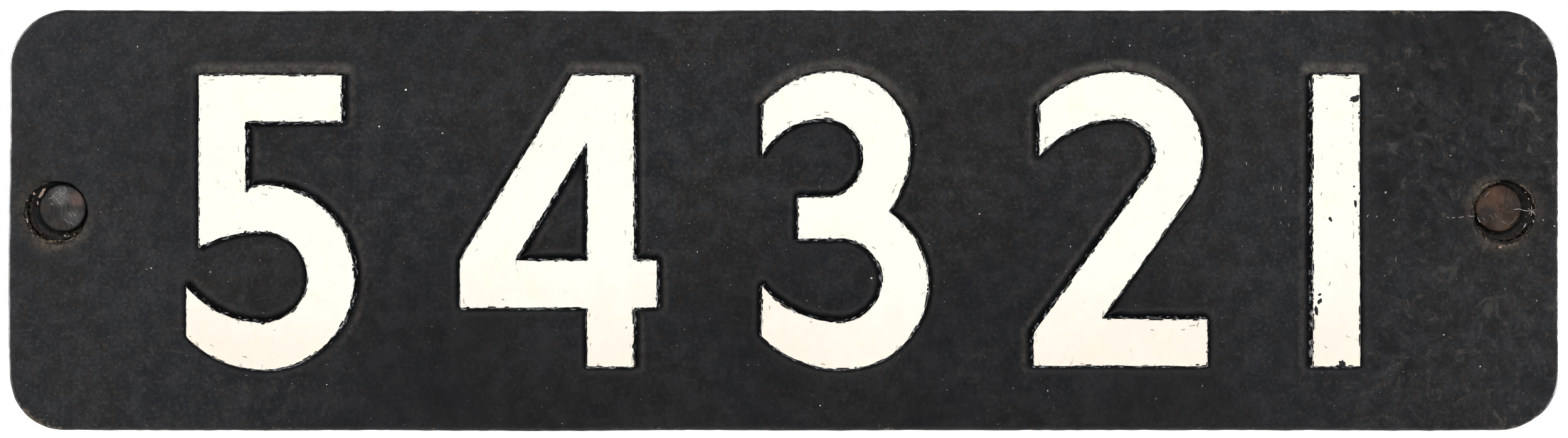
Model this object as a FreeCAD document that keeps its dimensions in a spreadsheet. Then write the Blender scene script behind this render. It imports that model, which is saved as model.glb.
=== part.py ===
"""Locomotive number plate: an iron casting with raised numerals, and the two bolts, washers and nuts
that hold it to a smokebox door. The back of the plate lies in the XZ plane, centred on the origin, its
face looks towards -Y and +Z is up. All lengths are millimetres and all angles degrees."""

import FreeCAD, Part

import math
import os
import re

import Sketcher

V = FreeCAD.Vector
NEAR = 1e-3

# Driving dimensions
SIZES = {
    # the plate of the casting
    "plate_length": 610,
    "plate_height": 166,
    "plate_thickness": 9.5,
    "plate_corner": 23,
    "plate_draft": 3,
    "face_edge_round": 1.8,
    "back_edge_bevel": 0.8,
    # what the numerals share
    "numeral_height": 114,
    "numeral_base": 26,
    "numeral_margin": 71.5,
    "numeral_gap": 41,
    "numeral_relief": 6.4,
    "stroke": 18.5,
    "overshoot": 1.2,
    "terminal_rise": 13,
    "terminal_length": 20,
    # the five
    "five_width": 66,
    "five_bowl_top": 71,
    "five_stem_inset": 5,
    "five_notch_depth": 3,
    "five_tuck": 6,
    # the four
    "four_width": 77,
    "four_bar_height": 23,
    "four_bar_end": 9,
    "four_head_width": 24,
    # the three
    "three_width": 65,
    "three_shoulder": 7,
    "three_upper_radius": 29,
    "three_lower_radius": 33.2,
    "three_bar_inset": 14,
    "three_bar_height": 49.7,
    "three_bar_thickness": 16.5,
    "three_waist_inset": 15.5,
    "three_waist_height": 60.5,
    # the two
    "two_width": 68,
    "two_bowl_radius": 32,
    "two_bowl_inset": 2,
    "two_slope": 54.2,
    # the recesses cast for the heads of the bolts
    "recess_diameter": 24.4,
    "recess_depth": 5.5,
    "recess_rim_bevel": 0.9,
    "recess_inset_left": 19.2,
    "recess_inset_right": 22.7,
    "recess_rise": 3.4,
    # the bolts, which stand a little off the middle of their recesses
    "bolt_shift_left": 2.4,
    "bolt_shift_right": 1.5,
    "bolt_rise": 1.5,
    "head_diameter": 18.3,
    "head_height": 4,
    "head_edge_bevel": 0.5,
    "shank_diameter": 12.7,
    "shank_clearance": 1.25,
    "thread_diameter": 11.8,
    "thread_tail": 4,
    "thread_chamfer": 1.2,
    # the room between the plate and the washers, where the smokebox door goes
    "door_thickness": 10,
    # the washers and the nuts
    "washer_diameter": 28.6,
    "washer_bore": 13.5,
    "washer_thickness": 2.6,
    "nut_across_flats": 23.4,
    "nut_height": 11,
    "nut_thread_clearance": 0.1,
    "nut_chamfer_slope": 30,
}

doc = FreeCAD.newDocument("number_plate")
sheet = doc.addObject("Spreadsheet::Sheet", "Sizes")
for row, (alias, size) in enumerate(SIZES.items(), start=1):
    sheet.set(f"A{row}", alias)
    sheet.set(f"B{row}", str(size))
    sheet.setAlias(f"B{row}", alias)
doc.recompute()


def bound(text):
    """The text as an expression on the sheet: each size's name gets the sheet's in front."""
    return re.sub(r"[a-z_]+", lambda word: f"Sizes.{word[0]}" if word[0] in SIZES else word[0], text)


def number(text):
    return float(sheet.evalExpression(bound(text)))


def new_body(name):
    body = doc.addObject("PartDesign::Body", name)
    body.Label = name
    return body


def new_sketch(body, name, role, offset=None):
    """A sketch on one of the body's own planes, shifted by the expressions in offset."""
    sketch = body.newObject("Sketcher::SketchObject", name)
    plane = next(f for f in body.Origin.OriginFeatures if f.Role == role)
    sketch.AttachmentSupport = [(plane, "")]
    sketch.MapMode = "FlatFace"
    for axis, text in (offset or {}).items():
        sketch.setExpression(f"AttachmentOffset.Base.{axis}", bound(text))
    return sketch


def drive(sketch, constraint, text):
    """Adds a dimension and binds it to the sheet."""
    index = sketch.addConstraint(constraint)
    sketch.setExpression(f"Constraints[{index}]", bound(text))


def pin_point(sketch, geometry, point, x_text, y_text):
    """Holds a point at its distances from the sketch's origin."""
    for kind, text in (("DistanceX", x_text), ("DistanceY", y_text)):
        drive(sketch, Sketcher.Constraint(kind, -1, 1, geometry, point, number(text)), text)


def circle(sketch, x_text, y_text, diameter_text):
    centre = V(number(x_text), number(y_text), 0)
    diameter = number(diameter_text)
    geometry = sketch.addGeometry(Part.Circle(centre, V(0, 0, 1), diameter / 2))
    drive(sketch, Sketcher.Constraint("Diameter", geometry, diameter), diameter_text)
    pin_point(sketch, geometry, 3, x_text, y_text)


# How an outline runs on from a corner: straight, or in an arc whose middle lies above, below or beside
# one of its two corners, so that it is level or upright there, or in half a circle to the left or right
STRAIGHT = None
LEVEL_START, LEVEL_END = ("Vertical", 0, None), ("Vertical", 1, None)
UPRIGHT_START, UPRIGHT_END = ("Horizontal", 0, None), ("Horizontal", 1, None)
HALF_LEFT, HALF_RIGHT = ("Vertical", 0, True), ("Vertical", 0, False)


def arc_between(start, end, run):
    """The arc of this run from start to end, and whether it turns left on its way."""
    lined_up, corner, turns_left = run
    base, other = (start, end)[::-1 if corner else 1]
    across, up = other.x - base.x, other.y - base.y
    chord = across * across + up * up
    centre = base + (V(0, chord / (2 * up), 0) if lined_up == "Vertical" else V(chord / (2 * across), 0, 0))
    if turns_left is None:
        turns_left = (start - centre).cross(end - centre).z > 0
    first, last = (math.atan2(p.y - centre.y, p.x - centre.x) for p in (start, end))
    if not turns_left:
        first, last = last, first
    if last < first:
        last += 2 * math.pi
    whole = Part.Circle(centre, V(0, 0, 1), (base - centre).Length)
    return Part.ArcOfCircle(whole, first, last), turns_left


def outline(sketch, corners):
    """Draws a closed outline. Each corner is its x, its y and the run after it."""
    points = [V(number(x), number(y), 0) for x, y, _ in corners]
    drawn = []
    for start, end, (_, _, run) in zip(points, points[1:] + points[:1], corners):
        if run is STRAIGHT:
            drawn.append((sketch.addGeometry(Part.LineSegment(start, end)), (1, 2)))
        else:
            arc, turns_left = arc_between(start, end, run)
            drawn.append((sketch.addGeometry(arc), (1, 2) if turns_left else (2, 1)))
    for i, (x_text, y_text, run) in enumerate(corners):
        geometry, ends = drawn[i]
        after, ends_after = drawn[(i + 1) % len(drawn)]
        sketch.addConstraint(Sketcher.Constraint("Coincident", geometry, ends[1], after, ends_after[0]))
        pin_point(sketch, geometry, ends[0], x_text, y_text)
        if run is not STRAIGHT:
            lined_up, corner, _ = run
            sketch.addConstraint(Sketcher.Constraint(lined_up, geometry, 3, geometry, ends[corner]))


# The setting that holds the size of a rounded or a bevelled edge
EASED_BY = {"Fillet": "Radius", "Chamfer": "Size"}


def feature(body, kind, name, sketch=None, **settings):
    """A feature of the body. A setting given as text is bound to the sheet."""
    made = body.newObject(f"PartDesign::{kind}", name)
    if sketch:
        made.Profile = sketch
    for setting, what in settings.items():
        if isinstance(what, str):
            made.setExpression(setting, bound(what))
        else:
            setattr(made, setting, what)
    doc.recompute()
    if "Invalid" in made.State:
        # a draft finds its neutral plane the second time round
        made.touch()
        doc.recompute()
    return made


def ease_edges(body, kind, name, base, chosen, size):
    """Rounds or bevels the edges of the base feature that the function chosen picks by their boxes."""
    edges = [f"Edge{i}" for i, edge in enumerate(base.Shape.Edges, start=1) if chosen(edge.BoundBox)]
    return feature(body, kind, name, Base=(base, edges), **{EASED_BY[kind]: size})


def one():
    """A plain upright bar."""
    return [[
        ("0", "0", STRAIGHT),
        ("stroke", "0", STRAIGHT),
        ("stroke", "numeral_height", STRAIGHT),
        ("0", "numeral_height", STRAIGHT),
    ]]


def two():
    """The bowl's right half runs on into a straight neck, which leans by the slope."""
    centre_x = "two_width - two_bowl_inset - two_bowl_radius"
    centre_y = "numeral_height + overshoot - two_bowl_radius"
    inner = "(two_bowl_radius - stroke)"
    # the neck's outer line meets the foot, and its inner line the left end of the foot
    outer_turn = f"({centre_x} + two_bowl_radius * sin(two_slope))"
    outer_fall = f"({centre_y} - two_bowl_radius * cos(two_slope))"
    inner_turn = f"({centre_x} + {inner} * sin(two_slope))"
    inner_fall = f"({centre_y} - {inner} * cos(two_slope))"
    terminal_top = "numeral_height + overshoot - terminal_rise"
    return [[
        ("0", "0", STRAIGHT),
        ("two_width", "0", STRAIGHT),
        ("two_width", "stroke", STRAIGHT),
        (f"{outer_turn} - ({outer_fall} - stroke) / tan(two_slope)", "stroke", STRAIGHT),
        (outer_turn, outer_fall, LEVEL_END),
        (centre_x, "numeral_height + overshoot", LEVEL_START),
        ("two_bowl_inset", terminal_top, STRAIGHT),
        ("two_bowl_inset", f"{terminal_top} - terminal_length", LEVEL_END),
        (centre_x, "numeral_height + overshoot - stroke", LEVEL_START),
        (inner_turn, inner_fall, STRAIGHT),
        ("0", f"{inner_fall} - {inner_turn} * tan(two_slope)", STRAIGHT),
    ]]


def three():
    """Two bowls, one on the other, which meet in a notch on the right and a short bar on the left."""
    top = "numeral_height + overshoot"
    upper_x = "(three_width - three_shoulder - three_upper_radius)"
    upper_y = f"({top} - three_upper_radius)"
    lower_x = "(three_width - three_lower_radius)"
    lower_y = "(three_lower_radius - overshoot)"
    bar_top = "(three_bar_height + three_bar_thickness)"
    # the counters are round where they turn, with half their height as radius
    upper_counter = f"({top} - stroke - {bar_top}) / 2"
    lower_counter = "(three_bar_height - stroke + overshoot) / 2"
    return [[
        ("0", f"{top} - terminal_rise", LEVEL_END),
        (upper_x, top, LEVEL_START),
        ("three_width - three_shoulder", upper_y, UPRIGHT_START),
        ("three_width - three_waist_inset", "three_waist_height", UPRIGHT_END),
        ("three_width", lower_y, UPRIGHT_START),
        (lower_x, "-overshoot", LEVEL_START),
        ("0", "terminal_rise - overshoot", STRAIGHT),
        ("0", "terminal_rise - overshoot + terminal_length", LEVEL_END),
        (f"three_width - stroke - {lower_counter}", "stroke - overshoot", LEVEL_START),
        ("three_width - stroke", f"stroke - overshoot + {lower_counter}", UPRIGHT_START),
        (f"three_width - stroke - {lower_counter}", "three_bar_height", STRAIGHT),
        ("three_bar_inset", "three_bar_height", STRAIGHT),
        ("three_bar_inset", bar_top, STRAIGHT),
        (f"three_width - three_shoulder - stroke - {upper_counter}", bar_top, LEVEL_START),
        ("three_width - three_shoulder - stroke", f"{bar_top} + {upper_counter}", UPRIGHT_START),
        (f"three_width - three_shoulder - stroke - {upper_counter}", f"{top} - stroke", LEVEL_START),
        ("0", f"{top} - terminal_rise - terminal_length", STRAIGHT),
    ]]


def four():
    """A stem crossed by a bar, and a slant from the stem's head to the bar's left end."""
    stem_left = "(four_width - four_bar_end - stroke)"
    stem_right = "(four_width - four_bar_end)"
    bar_top = "(four_bar_height + stroke)"
    head_left = f"({stem_right} - four_head_width)"
    # the slant is a stroke thick, square to its run
    rise = f"((numeral_height - {bar_top}) / {head_left})"
    shift = f"(stroke * sqrt(1 + 1 / {rise}^2))"
    return [
        [
            (stem_left, "0", STRAIGHT),
            (stem_right, "0", STRAIGHT),
            (stem_right, "four_bar_height", STRAIGHT),
            ("four_width", "four_bar_height", STRAIGHT),
            ("four_width", bar_top, STRAIGHT),
            (stem_right, bar_top, STRAIGHT),
            (stem_right, "numeral_height", STRAIGHT),
            (head_left, "numeral_height", STRAIGHT),
            ("0", bar_top, STRAIGHT),
            ("0", "four_bar_height", STRAIGHT),
            (stem_left, "four_bar_height", STRAIGHT),
        ],
        [
            (shift, bar_top, STRAIGHT),
            (stem_left, bar_top, STRAIGHT),
            (stem_left, f"{bar_top} + ({stem_left} - {shift}) * {rise}", STRAIGHT),
        ],
    ]


def five():
    """A bar and a short stem over one round bowl."""
    radius = "((five_bowl_top + overshoot) / 2)"
    middle_x = f"(five_width - {radius})"
    stem_right = "(five_stem_inset + stroke)"
    return [[
        ("five_stem_inset", "numeral_height", STRAIGHT),
        ("five_stem_inset", "five_bowl_top - stroke - five_tuck", LEVEL_END),
        (middle_x, "five_bowl_top - stroke", HALF_RIGHT),
        (middle_x, "stroke - overshoot", LEVEL_START),
        ("0", "terminal_rise - overshoot + terminal_length", STRAIGHT),
        ("0", "terminal_rise - overshoot", LEVEL_END),
        (middle_x, "-overshoot", HALF_LEFT),
        (middle_x, "five_bowl_top", LEVEL_START),
        (stem_right, "five_bowl_top - five_notch_depth", STRAIGHT),
        (stem_right, "numeral_height - stroke", STRAIGHT),
        ("five_width - five_stem_inset", "numeral_height - stroke", STRAIGHT),
        ("five_width - five_stem_inset", "numeral_height", STRAIGHT),
    ]]


# The numerals from left to right, with their widths
NUMERALS = (
    (five, "five_width"),
    (four, "four_width"),
    (three, "three_width"),
    (two, "two_width"),
    (one, "stroke"),
)

# Where the recesses and the bolts stand, from the middle of the plate
RECESS_X = {
    "left": "recess_inset_left - plate_length / 2",
    "right": "plate_length / 2 - recess_inset_right",
}
BOLT_X = {
    "left": "recess_inset_left + bolt_shift_left - plate_length / 2",
    "right": "plate_length / 2 - recess_inset_right - bolt_shift_right",
}
BOLT_Z = "recess_rise + bolt_rise"
SHANK_LENGTH = "(plate_thickness - recess_depth + door_thickness)"
THREAD_LENGTH = "(washer_thickness + nut_height + thread_tail)"


def lies_at(box, y):
    """Whether the box of an edge is flat and lies at this depth."""
    return abs(box.YMin - y) < NEAR and abs(box.YMax - y) < NEAR


def number_plate():
    """The casting: a drafted plate, the numerals on it, the recesses for the heads and the bolt holes."""
    body = new_body("number_plate")
    sketch = new_sketch(body, "plate_outline", "XZ_Plane")
    x, y, corner = "plate_length / 2", "plate_height / 2", "plate_corner"
    outline(sketch, [
        (f"{corner} - {x}", f"-{y}", STRAIGHT),
        (f"{x} - {corner}", f"-{y}", LEVEL_START),
        (x, f"{corner} - {y}", STRAIGHT),
        (x, f"{y} - {corner}", UPRIGHT_START),
        (f"{x} - {corner}", y, STRAIGHT),
        (f"{corner} - {x}", y, LEVEL_START),
        (f"-{x}", f"{y} - {corner}", STRAIGHT),
        (f"-{x}", f"{corner} - {y}", UPRIGHT_START),
    ])
    blank = feature(body, "Pad", "plate_blank", sketch, Length="plate_thickness")
    boxes = {f"Face{i}": face.BoundBox for i, face in enumerate(blank.Shape.Faces, start=1)}
    drafted = feature(
        body, "Draft", "plate_sides",
        Base=(blank, [name for name, box in boxes.items() if not lies_at(box, box.YMin)]),
        NeutralPlane=(blank, [name for name, box in boxes.items() if lies_at(box, 0)]),
        Reversed=True, Angle="plate_draft",
    )
    face_y = -number("plate_thickness")
    rounded = ease_edges(
        body, "Fillet", "face_edge", drafted, lambda box: lies_at(box, face_y), "face_edge_round"
    )
    ease_edges(body, "Chamfer", "back_edge", rounded, lambda box: lies_at(box, 0), "back_edge_bevel")

    left = "numeral_margin - plate_length / 2"
    for draw, width in NUMERALS:
        name = draw.__name__
        offset = {"x": left, "y": "numeral_base - plate_height / 2", "z": "plate_thickness"}
        sketch = new_sketch(body, f"{name}_outline", "XZ_Plane", offset)
        for corners in draw():
            outline(sketch, corners)
        feature(body, "Pad", f"numeral_{name}", sketch, Length="numeral_relief")
        left += f" + {width} + numeral_gap"

    for name, places, up, diameter, depth in (
        ("head_recesses", RECESS_X, "recess_rise", "recess_diameter", "recess_depth"),
        ("bolt_holes", BOLT_X, BOLT_Z, "shank_diameter + 2 * shank_clearance", "plate_thickness + 1"),
    ):
        sketch = new_sketch(body, f"{name}_outline", "XZ_Plane", {"z": "plate_thickness"})
        for across in places.values():
            circle(sketch, across, up, diameter)
        cut = feature(body, "Pocket", name, sketch, Length=depth)

    def at_rim(box):
        return lies_at(box, face_y) and abs(box.XLength - number("recess_diameter")) < NEAR

    ease_edges(body, "Chamfer", "recess_rims", cut, at_rim, "recess_rim_bevel")


def fixing_bolt(side):
    """A round-headed bolt, turned about its own axis, with its origin under the head."""
    body = new_body(f"fixing_bolt_{side}")
    sketch = new_sketch(body, f"bolt_profile_{side}", "XY_Plane")
    head, shank, thread = "head_diameter / 2", "shank_diameter / 2", "thread_diameter / 2"
    tip = f"{SHANK_LENGTH} + {THREAD_LENGTH}"
    outline(sketch, [
        ("0", "-head_height", STRAIGHT),
        (f"{head} - head_edge_bevel", "-head_height", STRAIGHT),
        (head, "head_edge_bevel - head_height", STRAIGHT),
        (head, "0", STRAIGHT),
        (shank, "0", STRAIGHT),
        (shank, SHANK_LENGTH, STRAIGHT),
        (thread, SHANK_LENGTH, STRAIGHT),
        (thread, f"{tip} - thread_chamfer", STRAIGHT),
        (f"{thread} - thread_chamfer", tip, STRAIGHT),
        ("0", tip, STRAIGHT),
    ])
    axis = (sketch, ["V_Axis"])
    feature(body, "Revolution", f"bolt_turned_{side}", sketch, ReferenceAxis=axis, Angle=360)
    place(body, side, "recess_depth - plate_thickness")


def bolt_washer(side):
    """A plain round washer, which lies against the back of the door."""
    body = new_body(f"bolt_washer_{side}")
    sketch = new_sketch(body, f"washer_outline_{side}", "XZ_Plane")
    circle(sketch, "0", "0", "washer_diameter")
    circle(sketch, "0", "0", "washer_bore")
    feature(body, "Pad", f"washer_{side}", sketch, Length="washer_thickness", Reversed=True)
    place(body, side, "door_thickness")


def bolt_nut(side):
    """A six-sided nut, chamfered on the side away from its washer."""
    body = new_body(f"bolt_nut_{side}")
    sketch = new_sketch(body, f"nut_outline_{side}", "XZ_Plane")
    corner, flat = "nut_across_flats / sqrt(3)", "nut_across_flats / 2"
    outline(sketch, [
        (corner, "0", STRAIGHT),
        (f"{corner} / 2", flat, STRAIGHT),
        (f"-{corner} / 2", flat, STRAIGHT),
        (f"-{corner}", "0", STRAIGHT),
        (f"-{corner} / 2", f"-{flat}", STRAIGHT),
        (f"{corner} / 2", f"-{flat}", STRAIGHT),
    ])
    circle(sketch, "0", "0", "thread_diameter + 2 * nut_thread_clearance")
    feature(body, "Pad", f"nut_blank_{side}", sketch, Length="nut_height", Reversed=True)
    sketch = new_sketch(body, f"nut_chamfer_outline_{side}", "XY_Plane")
    # the cut starts on the flats at the nut's end and runs out past its corners
    outline(sketch, [
        (flat, "nut_height", STRAIGHT),
        ("nut_across_flats", f"nut_height - {flat} * tan(nut_chamfer_slope)", STRAIGHT),
        ("nut_across_flats", "nut_height", STRAIGHT),
    ])
    feature(body, "Groove", f"nut_chamfer_{side}", sketch, ReferenceAxis=(sketch, ["V_Axis"]), Angle=360)
    place(body, side, "door_thickness + washer_thickness")


def place(body, side, y_text):
    """Sets a piece on the axis of its side's bolt, at this distance behind the back of the plate."""
    for axis, text in (("x", BOLT_X[side]), ("y", y_text), ("z", BOLT_Z)):
        body.setExpression(f"Placement.Base.{axis}", bound(text))


number_plate()
for side in ("left", "right"):
    fixing_bolt(side)
    bolt_washer(side)
    bolt_nut(side)
doc.recompute()

for thing in doc.Objects:
    if "Invalid" in thing.State or "Error" in thing.State:
        raise RuntimeError(f"{thing.Name} could not be made: {thing.State}")
bodies = [thing for thing in doc.Objects if thing.TypeId == "PartDesign::Body"]
for body in bodies:
    if body.Shape.isNull() or not body.Shape.isValid() or len(body.Shape.Solids) != 1:
        raise RuntimeError(f"{body.Label} is not one valid solid")

os.makedirs("parts", exist_ok=True)
for body in bodies:
    body.Shape.exportStep(f"parts/{body.Label}.step")
    print(body.Label, round(body.Shape.Volume / 1000, 2), "cm3")
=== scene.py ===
"""A locomotive number plate with its fixings, dressed for a plain studio view.

The plate is a sand casting with raised numerals: black paint on the iron, ivory enamel on the numerals. Two
bolts hold it from the front, and a washer and a nut hold each bolt from behind. The row frame is the CAD's:
the back of the plate lies in the XZ plane and its face looks towards -Y. The shapes are worked out in
millimetres and made in metres."""

import math

import bpy
import numpy as np
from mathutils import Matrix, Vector
from mathutils.geometry import delaunay_2d_cdt
from mathutils.kdtree import KDTree


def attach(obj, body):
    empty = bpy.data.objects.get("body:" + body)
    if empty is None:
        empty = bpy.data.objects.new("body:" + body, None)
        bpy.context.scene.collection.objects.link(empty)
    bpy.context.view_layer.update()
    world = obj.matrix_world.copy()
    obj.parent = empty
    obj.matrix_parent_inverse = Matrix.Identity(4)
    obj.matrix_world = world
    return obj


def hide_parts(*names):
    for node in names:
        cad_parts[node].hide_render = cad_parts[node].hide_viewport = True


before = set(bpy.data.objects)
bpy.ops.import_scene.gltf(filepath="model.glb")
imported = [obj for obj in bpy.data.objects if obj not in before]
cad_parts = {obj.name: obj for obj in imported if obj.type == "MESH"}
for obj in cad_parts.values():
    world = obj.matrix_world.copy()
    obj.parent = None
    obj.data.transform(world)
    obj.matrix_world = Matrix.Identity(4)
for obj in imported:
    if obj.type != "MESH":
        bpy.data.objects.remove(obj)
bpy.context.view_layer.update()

MM = 0.001
TAU = 2 * math.pi

# The casting
PLATE = {
    "length": 610, "height": 166, "thickness": 9.5, "corner": 23, "draft": 3, "face_round": 1.8, "back_round": 0.8,
}
# Radii of the lower right, upper right, upper left and lower left corner
CORNERS = (23.6, 23.9, 23.1, 21.6)
FACE_Y = -PLATE["thickness"]
RELIEF = 6.4
FOOT_ROUND = 4.2
WALL_DRAFT = 11
TOP_ROUND = 0.45

# The numerals
HEIGHT = 114
BASE = 26 - PLATE["height"] / 2
MARGIN = 71.5
GAP = 41
STROKE = 18.5
OVER = 1.2
RISE = 13
TERMINAL = 20
OUTLINE_STEP = 0.25

# The recesses, and the bolts a little off their middles: across, up
RECESS = {"left": (-285.8, 3.4), "right": (282.3, 3.4)}
BOLT = {"left": (-283.4, 4.9), "right": (280.8, 4.9)}
RECESS_RADIUS = 12.2
RECESS_DEPTH = 5.5
RECESS_POINTS = 72
HOLE_RADIUS = 7.6
HOLE_POINTS = 40

# How far beyond the outlines the places count that are nowhere near a numeral, such as the sides and the back
FAR_BESIDE = 30.0


def lumps(x, z, wave, seed):
    """Smooth noise between -1 and 1 over the plane, with this wavelength."""
    table = np.random.default_rng(seed).uniform(-1, 1, (64, 64))
    turn = seed * 1.7
    u = (x * math.cos(turn) - z * math.sin(turn)) / wave + 512.3
    v = (x * math.sin(turn) + z * math.cos(turn)) / wave + 512.7
    i, j = np.floor(u).astype(int), np.floor(v).astype(int)
    s, t = u - i, v - j
    s, t = s * s * (3 - 2 * s), t * t * (3 - 2 * t)
    near = table[i % 64, j % 64] * (1 - s) + table[(i + 1) % 64, j % 64] * s
    far = table[i % 64, (j + 1) % 64] * (1 - s) + table[(i + 1) % 64, (j + 1) % 64] * s
    return near * (1 - t) + far * t


def smooth_step(value, low, high):
    t = np.clip((value - low) / (high - low), 0, 1)
    return t * t * (3 - 2 * t)


def rough(x, z, *kinds):
    """Several kinds of lumps in one: height, wavelength and seed of each."""
    return sum(height * lumps(x, z, wave, seed) for height, wave, seed in kinds)


# Outlines of the numerals. From its corner a run goes on straight, or in an arc whose middle lies above, below
# or beside one of its two corners, or in half a circle.
LEVEL_START, LEVEL_END, UPRIGHT_START, UPRIGHT_END = (1, 0, None), (1, 1, None), (0, 0, None), (0, 1, None)
HALF_LEFT, HALF_RIGHT = (1, 0, 1), (1, 0, -1)


def run_points(start, end, arc=None):
    """Points along a run, from its start up to the one before its end."""
    start, end = np.array(start, float), np.array(end, float)
    if arc is None:
        count = max(1, round(np.hypot(*(end - start)) / OUTLINE_STEP))
        return start + (end - start) * np.arange(count)[:, None] / count
    axis, corner, side = arc
    base, other = (end, start) if corner else (start, end)
    reach = other - base
    centre = base.copy()
    centre[axis] += reach @ reach / (2 * reach[axis])
    first, last = (math.atan2(p[1] - centre[1], p[0] - centre[0]) for p in (start, end))
    turn = (last - first + math.pi) % TAU - math.pi if side is None else side * math.pi
    radius = np.hypot(*(base - centre))
    count = max(2, round(abs(turn) * radius / OUTLINE_STEP))
    angles = first + turn * np.arange(count) / count
    return centre + radius * np.column_stack([np.cos(angles), np.sin(angles)])


def one():
    return STROKE, [[(0, 0), (STROKE, 0), (STROKE, HEIGHT), (0, HEIGHT)]]


def two():
    width, left, radius, slope = 68, 2, 32, math.radians(54.2)
    across, up = width - left - radius, HEIGHT + OVER - radius
    inner = radius - STROKE
    outer_turn, outer_fall = across + radius * math.sin(slope), up - radius * math.cos(slope)
    inner_turn, inner_fall = across + inner * math.sin(slope), up - inner * math.cos(slope)
    return width, [[
        (0, 0), (width, 0), (width, STROKE), (outer_turn - (outer_fall - STROKE) / math.tan(slope), STROKE),
        (outer_turn, outer_fall, LEVEL_END), (across, HEIGHT + OVER, LEVEL_START), (left, HEIGHT + OVER - RISE),
        (left, HEIGHT + OVER - RISE - TERMINAL, LEVEL_END), (across, HEIGHT + OVER - STROKE, LEVEL_START),
        (inner_turn, inner_fall), (0, inner_fall - inner_turn * math.tan(slope)),
    ]]


def three():
    width, shoulder, upper, lower = 65, 58, 29, 33.2
    bar, bar_top, bar_left, waist = 49.7, 66.2, 14, (49.5, 60.5)
    top = HEIGHT + OVER
    upper_counter, lower_counter = (top - STROKE - bar_top) / 2, (bar - STROKE + OVER) / 2
    upper_bend, lower_bend = shoulder - STROKE - upper_counter, width - STROKE - lower_counter
    return width, [[
        (0, top - RISE, LEVEL_END), (shoulder - upper, top, LEVEL_START), (shoulder, top - upper, UPRIGHT_START),
        (*waist, UPRIGHT_END), (width, lower - OVER, UPRIGHT_START), (width - lower, -OVER, LEVEL_START),
        (0, RISE - OVER), (0, RISE - OVER + TERMINAL, LEVEL_END), (lower_bend, STROKE - OVER, LEVEL_START),
        (width - STROKE, STROKE - OVER + lower_counter, UPRIGHT_START), (lower_bend, bar), (bar_left, bar),
        (bar_left, bar_top), (upper_bend, bar_top, LEVEL_START),
        (shoulder - STROKE, bar_top + upper_counter, UPRIGHT_START), (upper_bend, top - STROKE, LEVEL_START),
        (0, top - RISE - TERMINAL),
    ]]


def four():
    width, bar, overhang, head_width = 77, 23, 9, 24
    right = width - overhang
    left, bar_top, head = right - STROKE, bar + STROKE, right - head_width
    rise = (HEIGHT - bar_top) / head
    shift = STROKE * math.sqrt(1 + 1 / rise ** 2)
    return width, [[
        (left, 0), (right, 0), (right, bar), (width, bar), (width, bar_top), (right, bar_top), (right, HEIGHT),
        (head, HEIGHT), (0, bar_top), (0, bar), (left, bar),
    ], [(shift, bar_top), (left, bar_top + (left - shift) * rise), (left, bar_top)]]


def five():
    width, bowl_top, inset = 66, 71, 5
    middle = width - (bowl_top + OVER) / 2
    stem = inset + STROKE
    return width, [[
        (inset, HEIGHT), (inset, bowl_top - STROKE - 6, LEVEL_END), (middle, bowl_top - STROKE, HALF_RIGHT),
        (middle, STROKE - OVER, LEVEL_START), (0, RISE - OVER + TERMINAL), (0, RISE - OVER, LEVEL_END),
        (middle, -OVER, HALF_LEFT), (middle, bowl_top, LEVEL_START), (stem, bowl_top - 3), (stem, HEIGHT - STROKE),
        (width - inset, HEIGHT - STROKE), (width - inset, HEIGHT),
    ]]


def even(loop, step):
    """A closed outline with its points at even steps."""
    closed = np.vstack([loop, loop[:1]])
    along = np.concatenate([[0], np.cumsum(np.hypot(*np.diff(closed, axis=0).T))])
    count = max(8, round(along[-1] / step))
    at = np.arange(count) * along[-1] / count
    return np.column_stack([np.interp(at, along, closed[:, k]) for k in (0, 1)])


def soft_corners(loop, weights=(1, 2, 3, 2, 1)):
    """The outline with its corners worn round."""
    middle = len(weights) // 2
    return sum(w * np.roll(loop, k - middle, 0) for k, w in enumerate(weights)) / sum(weights)


def outward(loop):
    """Unit vectors away from the metal, which is on the left of the outline's way."""
    along = np.roll(loop, -1, 0) - np.roll(loop, 1, 0)
    along /= np.hypot(*along.T)[:, None]
    return np.column_stack([along[:, 1], -along[:, 0]])


def area(loop):
    ahead = np.roll(loop, -1, 0)
    return ((loop[:, 0] * ahead[:, 1]) - (ahead[:, 0] * loop[:, 1])).sum() / 2


def inside(points, loops):
    """Whether each point lies inside the outlines, by the even-odd rule."""
    odd = np.zeros(len(points), bool)
    for loop in loops:
        a, b = loop, np.roll(loop, -1, 0)
        for (ax, az), (bx, bz) in zip(a, b):
            if az != bz:
                crosses = (az > points[:, 1]) != (bz > points[:, 1])
                odd ^= crosses & (points[:, 0] < (bx - ax) * (points[:, 1] - az) / (bz - az) + ax)
    return odd


def apart(points, place):
    """How far each point is from a place."""
    return np.hypot(*(points - place).T)


def clear_of(points, places, distance):
    """The points that are farther than this from the places of both sides."""
    for place in places.values():
        points = points[apart(points, place) > distance]
    return points


def within(points, rim, corner, margin):
    """The points inside a rim by this margin, where its corners have this radius."""
    past = np.maximum(np.abs(points) - (rim.max(0) - corner), 0)
    return points[np.hypot(*past.T) < corner - margin]


def lattice(low, high, step):
    """Points at even steps across and up, between two corners."""
    x, z = np.meshgrid(np.arange(low[0], high[0], step), np.arange(low[1], high[1], step))
    return np.column_stack([x.ravel(), z.ravel()])


def circle(centre, radius, count):
    angles = np.arange(count) * TAU / count
    return np.array(centre) + radius * np.column_stack([np.cos(angles), np.sin(angles)])


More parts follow.
